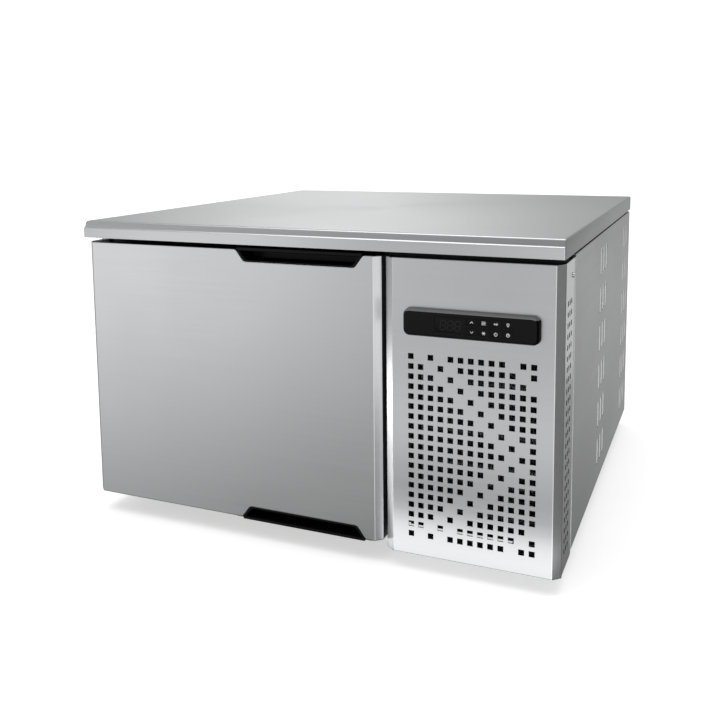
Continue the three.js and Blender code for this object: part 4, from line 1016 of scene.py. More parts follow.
    def _world(self) -> None:
        """Fills the room with soft light, and shows the camera a plain pale backdrop.

        From a direction d comes climb(d . up) + the sum of s * max(0, d . w) ** t over the glows
        of way w, tightness t and strength s, and never less than a little.
        """
        world = bpy.data.worlds.new("room")
        bpy.context.scene.world = world
        world.use_nodes = True
        graph = Graph(world.node_tree)
        way = graph.node("ShaderNodeTexCoord", output="Generated")
        height = graph.node("ShaderNodeSeparateXYZ", {}, {0: way}, output="Z")
        brightest = max(light for _, light in self.climb)
        stops = [((level + 1) / 2, (light / brightest,) * 3) for level, light in self.climb]
        light = graph.node("ShaderNodeValToRGB", {"stops": stops}, {0: height * 0.5 + 0.5}) * brightest
        for glow in self.glows:
            inputs = {0: way, 1: Vector(glow.way).normalized()}
            towards = graph.node("ShaderNodeVectorMath", {"operation": "DOT_PRODUCT"}, inputs, output="Value")
            light = light + towards.at_least(0).power(glow.tightness) * glow.strength
        seen = graph.node("ShaderNodeLightPath", output="Is Camera Ray")
        strength = light.at_least(self.dimmest) * (1 - seen) + seen * self.backdrop
        sky = graph.node("ShaderNodeBackground", {}, {"Color": (1, 1, 1, 1), "Strength": strength})
        graph.node("ShaderNodeOutputWorld", {}, {"Surface": sky})


# ------------------------------------------------------------------ cabinet


@dataclass
class Cabinet:
    """Worktop, side and rear panels, front frame, base and feet."""

    band: tuple[float, float] = (5.5 * MM, 15 * MM)
    band_left: float = 3.5 * MM
    ledge: tuple[float, float] = (1.7 * MM, 1.4 * MM)
    edge: float = 2.2 * MM
    fold: float = 15 * MM
    bend: float = 1.6 * MM
    louvre: tuple[float, float, float] = (12 * MM, 42 * MM, 0.9 * MM)
    louvre_columns: tuple[float, float] = (278 * MM, 585 * MM)
    louvre_spacing: float = 30 * MM
    louvre_levels: tuple[float, float, int] = (62 * MM, 63.5 * MM, 6)
    louvre_crown: float = 0.6 * MM
    rear_vent: tuple[float, float, float, int] = (56 * MM, 6 * MM, 16 * MM, 9)
    rear_vent_low: float = 240 * MM
    rear_vent_spacing: float = 80 * MM

    def build(self) -> None:
        """Makes the cabinet's pieces."""
        add("worktop_sheet", self.worktop(), TOP_STEEL, "cabinet", ["worktop"])
        add("left_panel_sheet", self.left_panel(), SIDE_STEEL, "cabinet", ["left_side_panel"])
        panel, blades = self.right_panel()
        add("right_panel_sheet", panel, SIDE_STEEL, "cabinet", ["right_side_panel"])
        add("louvre_blades", blades, BLADE_STEEL, "cabinet")
        add("rear_panel_sheet", self.rear_panel(), FRONT_STEEL, "cabinet", ["rear_panel"])
        add("rear_screws", self.rear_screws(), POLISHED, "cabinet")
        add("front_frame_sheet", self.front_frame(), FRAME_STEEL, "cabinet", ["front_frame"])
        for end in ("front", "rear"):
            for side in ("left", "right"):
                node = f"foot_{end}_{side}"
                add(f"{node}_rubber", self.foot(node), RUBBER_AND_PAINTED_SHADE, "cabinet", [node])
        dress(["base_pan", "partition_panel"], ZINC)
        # The core board is near black: painted shade in the gap under the worktop.
        dress(["worktop_core"], BOARD_PAINTED_SHADE)
        dress(["foam_top", "foam_bottom", "foam_left", "foam_right", "foam_back"], FOAM)

    def worktop(self) -> Mesh:
        """The worktop as a loft of rounded rectangles that climb the lip and turn over its edge.

        Over the fascia the front and left sides step back by a sloping ledge, then lean back
        evenly with the height. Round the top edge every side steps back by r (1 - cos a) while
        the level gains r sin a.

        Returns:
            The mesh.
        """
        low, high = span("worktop")
        setback, fascia = self.band
        ledge_back, ledge_rise = self.ledge
        shoulder, top = fascia + ledge_rise, high[2] - low[2]
        turn = np.linspace(0, math.pi / 2, 7)
        lean = [(0, 0), (fascia - 0.3 * MM, 0), (fascia, 0.06 * ledge_back)]
        lean += [(fascia + ledge_rise * 0.5, ledge_back * 0.55), (shoulder, ledge_back * 0.96)]
        lean += [(shoulder + 0.4 * MM, ledge_back * 1.05), (top, setback)]
        levels = [(0, 0), (0.25 * MM, 0), (fascia - 0.6 * MM, 0)]
        levels += [(level, 0) for level, _ in lean[1:-1]]
        levels += [(top - self.edge * (1 - math.sin(a)), self.edge * (1 - math.cos(a))) for a in turn]
        levels.append((top, self.edge + 0.6 * MM))

        def ring(level: float, inset: float, thickness: float) -> np.ndarray:
            """One rounded rectangle of the loft, inside the sheet's outer face by a thickness.

            Args:
                level: Height over the lower edge.
                inset: How far the ring lies inside the side's line there.
                thickness: How far it lies inside the sheet's outer face.

            Returns:
                Points round it.
            """
            back = float(np.interp(level, *zip(*lean)))
            left = back * self.band_left / setback
            corners = (low[:2] + [left + inset, back + inset * 0.7], high[:2] - inset)
            path = rounded_rectangle(corners[0] + thickness, corners[1] - thickness, self.edge, 4)
            return lying(path, low[2] + level - (thickness if level > fascia else 0))

        outer = [ring(level, inset, 0) for level, inset in levels]
        inner = [ring(level, inset, SHEET) for level, inset in levels]
        return loft(np.array(inner[::-1] + outer))

    def left_panel(self) -> Mesh:
        """The left side with its top edge folded in over the insulation."""
        low, high = span("left_side_panel")
        corners = [(low[0] + self.fold, high[2]), (low[0], high[2]), (low[0], low[2])]
        return folded_sheet(rounded_path(corners, self.bend), (low[1], high[1]))

    def right_panel(self) -> tuple[Mesh, Mesh]:
        """The right side, slotted for its louvres.

        The slots are cells left out of a grid whose lines run along their edges. Each blade is
        P(u, v) = (x + f(v) d(u), y(u), z(v)): its section (d, y) swells a little out of the sheet
        behind the slot, turns over and drops steeply inside, and f fades it at both ends of v.

        Returns:
            The panel and its blades.
        """
        low, high = span("right_side_panel")
        front = span("front_frame")[0][1]
        width, height, sink = self.louvre
        first, spacing, groups = self.louvre_levels
        offsets = self.louvre_spacing * np.array([-1, 0, 1])
        middles = front + np.add.outer(self.louvre_columns, offsets).reshape(-1)
        bottoms = first + spacing * np.arange(groups)
        slot_y = np.stack([middles - width / 2, middles + width / 2], axis=1)
        slot_z = np.stack([bottoms, bottoms + height], axis=1)
        line_y = np.unique(np.concatenate([[front, high[1]], slot_y.reshape(-1)]))
        line_z = np.concatenate([[low[2]], slot_z.reshape(-1), [high[2] - 4 * MM]])
        corners = [(high[0], line_z[-1]), (high[0], high[2]), (high[0] - self.fold, high[2])]
        fold = rounded_path(corners, self.bend)
        path = np.concatenate([np.stack([np.full(len(line_z), high[0]), line_z], axis=1), fold[1:]])
        starts, ends = slot_y[:, 0] - ON_PLANE, slot_y[:, 1] + ON_PLANE
        in_y = np.any((line_y[:-1, None] >= starts) & (line_y[1:, None] <= ends), axis=1)
        in_z = np.zeros(len(path) - 1, bool)
        in_z[1 : 2 * groups : 2] = True
        panel = folded_sheet(path, line_y, ~(in_y[:, None] & in_z[None, :]))
        crown, rear = self.louvre_crown, width / 2
        section = [(-0.25 * MM, rear + 8 * MM), (0.03 * MM, rear + 7 * MM), (crown * 0.55, rear + 4 * MM)]
        section += [(crown * 0.93, rear + 1.2 * MM), (crown, rear), (crown * 0.75, rear - 0.7 * MM)]
        section += [(0.0, rear - 1.1 * MM), (-sink * 0.5, rear - 1.3 * MM), (-sink, rear - 1.6 * MM)]
        out, back = np.array(section).T
        along = np.linspace(0, 1, 13)
        fade = np.sin(np.clip(np.minimum(along, 1 - along) * height / (3.5 * MM), 0, 1) * math.pi / 2)
        depth = np.where(out[:, None] > 0, out[:, None] * fade, out[:, None])
        y, z = np.meshgrid(back, height * along, indexing="ij")
        face = np.stack([depth, y, z], axis=2)[::-1]
        blade = shell(face, face - [0.5 * MM, 0.25 * MM, 0])
        places = [(high[0], middle, bottom) for middle in middles for bottom in bottoms]
        return panel, joined(moved(blade, place) for place in places)

    def rear_panel(self) -> Mesh:
        """The rear sheet, a flat grid with its air slots left out.

        Returns:
            The mesh.
        """
        low, high = span("rear_panel")
        middle = middle_of("front_cover")[0]
        width, height, spacing, rows = self.rear_vent
        inner, outer = (self.rear_vent_spacing - width) / 2, (self.rear_vent_spacing + width) / 2
        edges = [middle + place for place in (-outer, -inner, inner, outer)]
        bottoms = self.rear_vent_low + spacing * np.arange(rows)
        line_x = np.array([low[0], *edges, high[0]])
        line_z = np.array([low[2], *np.stack([bottoms, bottoms + height], axis=1).reshape(-1), high[2]])
        grid_x, grid_z = np.meshgrid(line_x, line_z)
        outer = np.stack([grid_x, np.full(grid_x.shape, high[1]), grid_z], axis=2)
        keep = np.ones((len(line_z) - 1, len(line_x) - 1), bool)
        keep[1 : 2 * rows : 2, [1, 3]] = False
        points, faces = shell(outer, outer - [0, SHEET, 0], keep)
        return points, [face[::-1] for face in faces]

    def rear_screws(self) -> Mesh:
        """Domed screw heads round the rear panel.

        Returns:
            The mesh.
        """
        low, high = span("rear_panel")
        dome = [(0, 1.1 * MM), (1.6 * MM, 1.0 * MM), (2.8 * MM, 0.6 * MM), (3.3 * MM, 0), (0, 0)]
        inset = 9 * MM
        heads = [
            lathe(dome[::-1], (x, high[1], z), "y", 20)
            for x in (low[0] + inset, (low[0] + high[0]) / 2, high[0] - inset)
            for z in (low[2] + inset, high[2] - inset)
        ]
        return joined(heads)

    def front_frame(self) -> Mesh:
        """The frame round the mouth, as a loft from its outer edge to the coved mouth and back.

        Returns:
            The mesh.
        """
        low, high = span("front_frame")
        cell = span("inner_liner")
        lap, mouth, soft, corner = 2 * MM, 12 * MM, 1.2 * MM, 0.6 * MM
        rings = [
            front_ring(low, high, 0, high[1], corner, 6),
            front_ring(low, high, 0, low[1], corner, 6),
            front_ring(*cell, lap - soft, low[1], mouth, 6),
            front_ring(*cell, lap, low[1] + soft, mouth, 6),
            front_ring(*cell, lap, high[1], mouth, 6),
        ]
        return loft(np.array(rings), round_trip=True)

    def foot(self, node: str) -> Mesh:
        """A rubber foot turned from its neck to its softly rounded pad.

        Args:
            node: The solid that it is shown for.

        Returns:
            The mesh.
        """
        low, high = span(node)
        middle = (low + high) / 2
        radius, height = (high[0] - low[0]) / 2, high[2] - low[2]
        neck, pad = 10 * MM, 20 * MM
        profile = [
            (0, 0),
            (radius - 3 * MM, 0),
            (radius - 1 * MM, 0.7 * MM),
            (radius, 3 * MM),
            (radius - 0.5 * MM, pad * 0.6),
            (radius - 2.5 * MM, pad - 1.5 * MM),
            (radius - 5 * MM, pad),
            (neck, pad + 0.4 * MM),
            (neck, height),
            (0, height),
        ]
        return lathe(profile, (middle[0], middle[1], low[2]))


# ------------------------------------------------------------------ machine cover


@dataclass
class MachineCover:
    """Punched and folded cover of the machine side, with its dark strips of painted shade and its screw."""

    chamfer_left: float = 13.2 * MM
    chamfer_right: float = 10.8 * MM
    chamfer_depth: float = 10.6 * MM
    bend: float = 2.0 * MM
    vent_size: float = 8 * MM
    vent_spacing: float = 14 * MM
    vent_columns: int = 13
    vent_rows: int = 19
    vent_lowest: float = 55 * MM
    slot: tuple[float, float] = (6 * MM, 7 * MM)
    slot_spacing: tuple[float, float] = (12.5 * MM, 14.6 * MM)
    slot_first: tuple[float, float] = (31 * MM, 47.6 * MM)
    slot_count: tuple[int, int] = (3, 24)
    recess: float = 0.9 * MM
    cutout: tuple[float, float, float] = (151 * MM, 29.4 * MM, 356 * MM)
    # Dark strips in the gaps behind the cover: painted shade.
    shade_strip_back: float = 22 * MM
    shade_strip_top: float = 444.9 * MM
    shade_strip_lap: float = 12 * MM
    shade_strip_wall: float = 1.5 * MM
    shade_strip_gap: float = 0.1 * MM
    foot_shade_strip: tuple[float, float] = (28 * MM, 29.5 * MM)

    def middle(self) -> float:
        """X of the middle of the flat face."""
        low, high = span("front_cover")
        return (low[0] + self.chamfer_left + high[0] - self.chamfer_right) / 2

    def build(self) -> None:
        """Makes the cover with its return in painted shade, its strips of painted shade, its slots' cut edges
        dark with oxide and painted shade, and its screw.
        """
        sheet = add("cover_sheet", self.sheet(), FRONT_STEEL, "cabinet", ["front_cover"])
        # The return beside the door is painted black as shade in the narrow gap.
        shade_faces(sheet, RUBBER_AND_PAINTED_SHADE, self.left_return_painted_shade)
        # Dark strips behind the upper edge and over the foot: painted shade.
        add("cover_seal", self.painted_shade_strips(), RUBBER_AND_PAINTED_SHADE, "cabinet")
        # Slot edges near black: partly oxide, mostly painted shade.
        add("side_slot_edges", self.slot_edges(), CUT_EDGE_OXIDE_AND_PAINTED_SHADE, "cabinet")
        add("cover_screw_head", self.screw(), POLISHED, "cabinet", ["cover_screw"])

    def left_return_painted_shade(self, normals: np.ndarray, middles: np.ndarray) -> np.ndarray:
        """Which faces look sideways and lie in the return beside the door, painted black as shade in the
        narrow gap.
        """
        return (np.abs(normals[:, 0]) > 0.95) & (middles[:, 0] < span("front_cover")[0][0] + 1.2 * SHEET)

    def vent_mask(self, x: np.ndarray, z: np.ndarray) -> np.ndarray:
        """Where the square holes are.

        The field is a grid of holes, of which a row keeps all but three. With k the row's number
        from the nearer end of the field, columns k + 1, k + 3 and k + 10 stay blank, which leaves
        plain chevrons; the middle row keeps column k + 3.

        Args:
            x: X of points.
            z: Z of the same points.

        Returns:
            Whether each point is in a hole.
        """
        column = np.round((x - self.middle()) / self.vent_spacing + (self.vent_columns + 1) / 2)
        row = self.vent_rows - np.round((z - self.vent_lowest) / self.vent_spacing)
        off_x = x - self.middle() - (column - (self.vent_columns + 1) / 2) * self.vent_spacing
        off_z = z - self.vent_lowest - (self.vent_rows - row) * self.vent_spacing
        inside = (np.abs(off_x) < self.vent_size / 2) & (np.abs(off_z) < self.vent_size / 2)
        there = (column >= 1) & (column <= self.vent_columns) & (row >= 1) & (row <= self.vent_rows)
        step = column - np.minimum(row, self.vent_rows + 1 - row)
        middle_row = row == (self.vent_rows + 1) / 2
        blank = (step == 1) | (step == 10) | ((step == 3) & ~middle_row)
        return inside & there & ~blank

    def sheet(self) -> Mesh:
        """The folded sheet: a plan line with rounded bends, run up Z, with every hole left out.

        Returns:
            The mesh.
        """
        low, high = span("front_cover")
        face = low[1]
        corners = [
            (low[0], high[1]),
            (low[0], face + self.chamfer_depth),
            (low[0] + self.chamfer_left, face),
            (high[0] - self.chamfer_right, face),
            (high[0] - self.recess * 0.2, face + self.chamfer_depth),
            (high[0] - self.recess, face + self.chamfer_depth + 8 * MM),
            (high[0] - self.recess, high[1]),
        ]
        middle, half = self.middle(), self.vent_size / 2
        cutout_width, cutout_height, cutout_level = self.cutout
        both_sides = np.array([-0.5, 0.5])
        plan = rounded_path(corners, self.bend)
        columns = middle + (np.arange(self.vent_columns) - (self.vent_columns - 1) / 2) * self.vent_spacing
        cut_x = np.concatenate([columns - half, columns + half, middle + both_sides * cutout_width])
        width, height = self.slot
        across, slots = self.slot_places()
        cut_y = np.concatenate([across - width / 2, across + width / 2])
        at_return = lengths(plan)[-1] - (high[1] - cut_y)
        line = divided(plan, np.concatenate([along_face(plan, face, cut_x), at_return]))
        inside = beside(line, SHEET)
        rows = self.vent_lowest + self.vent_spacing * np.arange(self.vent_rows)
        cut_z = [rows - half, rows + half, slots, slots + height, cutout_level + both_sides * cutout_height]
        cut_z += [low[2] + EDGE_STEPS, high[2] - EDGE_STEPS]
        levels = np.unique(np.round(np.concatenate(cut_z), 8))
        levels = levels[np.concatenate([[True], np.diff(levels) > 0.02 * MM])]
        outer = np.stack([lying(beside(line, edge_inset(min(high[2] - z, z - low[2]))), z) for z in levels])
        inner = np.stack([lying(inside, z) for z in levels])
        at = (line[:-1] + line[1:]) / 2
        x, z = np.meshgrid(at[:, 0], (levels[:-1] + levels[1:]) / 2)
        y = np.broadcast_to(at[:, 1], x.shape)
        flat = y < face + ON_PLANE
        hole = flat & self.vent_mask(x, z)
        in_width = np.abs(x - middle) < cutout_width / 2
        hole |= flat & in_width & (np.abs(z - cutout_level) < cutout_height / 2)
        on_return = x > high[0] - 1.5 * self.recess
        in_column = np.any(np.abs(y[..., None] - across) < width / 2, axis=2) & on_return
        in_row = np.any((z[..., None] > slots) & (z[..., None] < slots + height), axis=2)
        sheet = shell(outer, inner, ~(hole | (in_column & in_row)))
        floor = beside(plan, 0.1 * MM)
        plate = loft(np.array([lying(floor, low[2] + 0.05 * MM), lying(floor, low[2] + SHEET)]))
        return joined([sheet, plate])

    def painted_shade_strips(self) -> Mesh:
        """Two dark strips of painted shade: one behind the upper edge, one between the folded foot and the
        base pan.

        Each is a thin rounded rectangle run up Z between two levels.

        Returns:
            The mesh.
        """
        low, high = span("front_cover")
        front, foot = low[1] + self.shade_strip_back, high[1] + self.shade_strip_gap
        upper = (low[0] + 2 * SHEET, front), (high[0] - self.recess - 2 * SHEET, front + self.shade_strip_wall)
        lower = (
            (span("partition_panel")[1][0] + GAP, foot),
            (span("right_side_panel")[0][0] - GAP, span("base_pan")[0][1] - self.shade_strip_gap),
        )
        strips = []
        for corners, levels in ((upper, (high[2] - self.shade_strip_lap, self.shade_strip_top)), (lower, self.foot_shade_strip)):
            ring = rounded_rectangle(*corners, 0.3 * MM, 2)
            strips.append(loft(np.array([lying(ring, level) for level in levels])))
        return joined(strips)

    def slot_places(self) -> tuple[np.ndarray, np.ndarray]:
        """Y of the middles of the slot columns in the right-hand return, and Z of the slots' lower ends."""
        spread = zip(self.slot_first, self.slot_spacing, self.slot_count)
        across, up = (first + spacing * np.arange(count) for first, spacing, count in spread)
        return span("front_cover")[0][1] + across, up

    def slot_edges(self) -> Mesh:
        """The cut edges of the slots, dark partly with oxide and mostly with painted shade: in each a thin
        rectangular sleeve through the sheet.

        Returns:
            The mesh.
        """
        face = span("front_cover")[1][0] - self.recess
        width, height = self.slot
        across, slots = self.slot_places()
        half, wall = np.array([width, height]) / 2, 0.18 * MM
        corners = np.array([[-1, -1], [-1, 1], [1, 1], [1, -1]])
        front, rear = face - 0.02 * MM, face - SHEET
        sections = [(half, front), (half, rear), (half - wall, rear), (half - wall, front)]
        rings = np.array([[(x, *(corner * size)) for corner in corners] for size, x in sections])
        sleeve = loft(rings, round_trip=True)
        places = [(0, y, z + height / 2) for y in across for z in slots]
        return joined(moved(sleeve, place) for place in places)

    def screw(self) -> Mesh:
        """A domed screw head on the cover's right-hand return.

        Returns:
            The mesh.
        """
        low, high = span("cover_screw")
        middle = (low + high) / 2
        radius, top = (high[2] - low[2]) / 2, high[0]
        face = span("front_cover")[1][0] - self.recess
        stem, tip = 1.7 * MM, face - 4 * MM
        profile = [(0, tip), (stem, tip), (stem, face), (radius, face + 0.05 * MM)]
        profile += [(radius * 0.9, top - 0.25 * MM), (radius * 0.5, top), (0, top)]
        return lathe(profile, (0, middle[1], middle[2]), "x", 24)


# ------------------------------------------------------------------ controller


class Icon(Enum):
    """Plain signs on the keys: lines in millimetres from the middle of the key."""

    UP = (((-1.7, -1.0), (0, 0.9), (1.7, -1.0)),)
    DOWN = (((-1.7, 1.0), (0, -0.9), (1.7, 1.0)),)
    TRAYS = (((-2.3, 1.6), (2.3, 1.6)), ((-2.3, 0.0), (2.3, 0.0)), ((-2.3, -1.6), (2.3, -1.6)))
    SLIDER = (((-2.5, 0), (2.5, 0)), ((-1.0, -1.3), (-1.0, 1.3)), ((1.3, -1.3), (1.3, 1.3)))
    LAMP = (
        ((-1.3, 0.2), (-0.9, 1.6), (0.9, 1.6), (1.3, 0.2), (0.6, -1.0), (-0.6, -1.0), (-1.3, 0.2)),
        ((-0.6, -1.8), (0.6, -1.8)),
    )
    FROST = (((-2.2, 0), (2.2, 0)), ((-1.1, -1.9), (1.1, 1.9)), ((-1.1, 1.9), (1.1, -1.9)))
    POWER = (
        ((-1.0, 1.4), (-1.9, 0.3), (-1.3, -1.4), (0, -2.0), (1.3, -1.4), (1.9, 0.3), (1.0, 1.4)),
        ((0, 0.2), (0, 2.2)),
    )
    TIMER = (
        ((-1.9, 0), (-1.3, 1.4), (0, 1.9), (1.3, 1.4), (1.9, 0))
        + ((1.3, -1.4), (0, -1.9), (-1.3, -1.4), (-1.9, 0)),
        ((0, 1.2), (0, 0), (0.9, 0)),
    )


@dataclass
class Controller:
    """Bezel, window, keys and display of the controller.

    The bezel's faces whose normals rise more than `upward` are its upper bevel, which gets a painted
    highlight, and of the rest those that turn right more than `rightward` are its right-hand one, which gets
    painted shade.
    """

    corner: float = 9 * MM
    upward: float = 0.55
    rightward: float = 0.3
    flange: float = 0.9 * MM
    sign_scale: float = 1.12 * MM
    print_width: float = 0.58 * MM
    print_depth: float = 0.08 * MM
    icons: dict[str, Icon] = field(
        default_factory=lambda: {
            "key_up": Icon.UP,
            "key_defrost": Icon.TRAYS,
            "key_set": Icon.SLIDER,
            "key_light": Icon.LAMP,
            "key_down": Icon.DOWN,
            "key_hard_chill": Icon.FROST,
            "key_power": Icon.POWER,
            "key_timer": Icon.TIMER,
        }
    )
    digits: int = 3
    digit: tuple[float, float, float] = (7.0 * MM, 12.5 * MM, 10.0 * MM)

    def build(self) -> None:
        """Makes the controller's pieces."""
        bezel = add(
            "bezel_moulding", self.bezel(), BEZEL_BLACK, "cabinet", ["controller_bezel"]
        )
        cut(bezel, self.openings())
        # Painted highlight on the upper bevel, painted shade on the right-hand bevel.
        shade_faces(bezel, PAINTED_HIGHLIGHT_BEVEL, self.upper_bevel_painted_highlight)
        shade_faces(bezel, PAINTED_SHADE_BEVEL, self.right_bevel_painted_shade)
        add("display_window", self.window(), LENS, "cabinet", ["controller_lens"])
        add("display_segments", self.segments(), SEGMENT, "cabinet")
        for node, icon in self.icons.items():
            add(f"{node}_pad", self.key(node), BEZEL_BLACK, node, [node])
            add(f"{node}_sign", self.sign(node, icon), PRINT, node)
        dress(["controller_housing"], BLACK)

    def upper_bevel_painted_highlight(self, normals: np.ndarray, _: np.ndarray) -> np.ndarray:
        """Which faces of the bezel look up: the upper bevel, lighter grey as a painted highlight."""
        return normals[:, 2] > self.upward

    def right_bevel_painted_shade(self, normals: np.ndarray, _: np.ndarray) -> np.ndarray:
        """Which other faces of the bezel turn to the right: the right-hand bevel, darker as painted shade."""
        return (normals[:, 0] > self.rightward) & (normals[:, 2] <= self.upward)

    def openings(self) -> list[Mesh]:
        """Blocks that cut the bezel's openings: round the window, and inside the flanges of the keys.

        Returns:
            The blocks.
        """
        face = span("controller_bezel")[0][1]
        depths = (face + 2.5 * MM + GAP, face - 2 * MM)
        blocks = []
        for node in [*self.icons, "controller_lens"]:
            inset = self.flange - GAP if node in self.icons else -GAP
            rings = [front_ring(*span(node), inset, depth, 1.1 * MM, 4) for depth in depths]
            blocks.append(loft(np.array(rings)))
        return blocks

    def bezel(self) -> Mesh:
        """The bezel as a loft of rounded rectangles from its hollow back over its rim to its flat face.

        Each step is a share of the depth and how far the sides have leaned in there. They lean in
        slowly up to a chamfer with soft edges, which leads on to the face.

        Returns:
            The mesh.
        """
        low, high = span("controller_bezel")
        depth = high[1] - low[1]
        steps = [(0, 0), (0.25, 0.3 * MM), (0.5, 0.6 * MM), (0.62, 0.8 * MM), (0.70, 1.1 * MM)]
        steps += [(0.93, 2.5 * MM), (0.975, 3.0 * MM), (0.995, 3.6 * MM), (1, 4.4 * MM)]
        inner = [(0, 1.6 * MM), (0.6, 2.4 * MM), (0.78, 4.6 * MM)]
        rings = [
            front_ring(low, high, inset, high[1] - depth * share, self.corner - inset * 0.6, 8)
            for share, inset in inner[::-1] + steps
        ]
        return loft(np.array(rings))

    def _pad(self, low: np.ndarray, high: np.ndarray, radius: float, edge: float) -> Mesh:
        """A flat pad facing the front, with a softened edge.

        Args:
            low: Lowest corner.
            high: Highest corner.
            radius: Radius of its corners.
            edge: Radius of its front edge.

        Returns:
            The mesh.
        """
        rings = [front_ring(low, high, 0, high[1], radius, 5)]
        for turn in np.linspace(0, math.pi / 2, 4):
            inset, depth = edge * (1 - math.cos(turn)), low[1] + edge * (1 - math.sin(turn))
            rings.append(front_ring(low, high, inset, depth, radius, 5))
        return loft(np.array(rings))

    def window(self) -> Mesh:
        """The dark window of the display."""
        low, high = span("controller_lens")
        return self._pad(low, high, 1.0 * MM, 0.2 * MM)

    def key(self, node: str) -> Mesh:
        """A soft key with its retaining flange behind the bezel.

        Args:
            node: The key's solid.

        Returns:
            The mesh.
        """
        low, high = span(node)
        flange = np.array([self.flange, 0, self.flange])
        front = self._pad(low + flange + [0, self.print_depth, 0], high - flange, 1.0 * MM, 0.25 * MM)
        return joined([front, slab([low[0], high[1] - 1 * MM, low[2]], high, 0.2 * MM)])

    def sign(self, node: str, icon: Icon) -> Mesh:
        """The sign printed on a key.

        Args:
            node: The key's solid.
            icon: The sign.

        Returns:
            The mesh.
        """
        face, middle = span(node)[0][1], middle_of(node)[XZ]
        depth = (face + 0.3 * self.print_depth, face + 2 * self.print_depth)
        lines = [middle + np.array(line) * self.sign_scale for line in icon.value]
        return joined(stroke(line, self.print_width, depth) for line in lines)

    def segments(self) -> Mesh:
        """The unlit bars of the display: seven slanted bars in each digit.

        Returns:
            The mesh.
        """
        low, high = span("controller_lens")
        middle = (low + high) / 2
        width, height, spacing = self.digit
        bar, slant = 1.1 * MM, 0.12
        ends = [(x, z) for x in (-0.5, 0.5) for z in (-0.5, 0, 0.5)]
        pairs = [(0, 1), (1, 2), (3, 4), (4, 5), (0, 3), (1, 4), (2, 5)]
        bars = []
        for place in range(self.digits):
            offset = (place - (self.digits - 1) / 2) * spacing
            for first, last in pairs:
                points = np.array([ends[first], ends[last]]) * [width, height]
                points = points[0] + (points[1] - points[0]) * np.array([[0.12], [0.88]])
                points[:, 0] += points[:, 1] * slant + middle[0] + offset
                points[:, 1] += middle[2]
                bars.append(stroke(points, bar, (low[1] - 0.04 * MM, low[1] + 0.1 * MM)))
        return joined(bars)


# ------------------------------------------------------------------ door


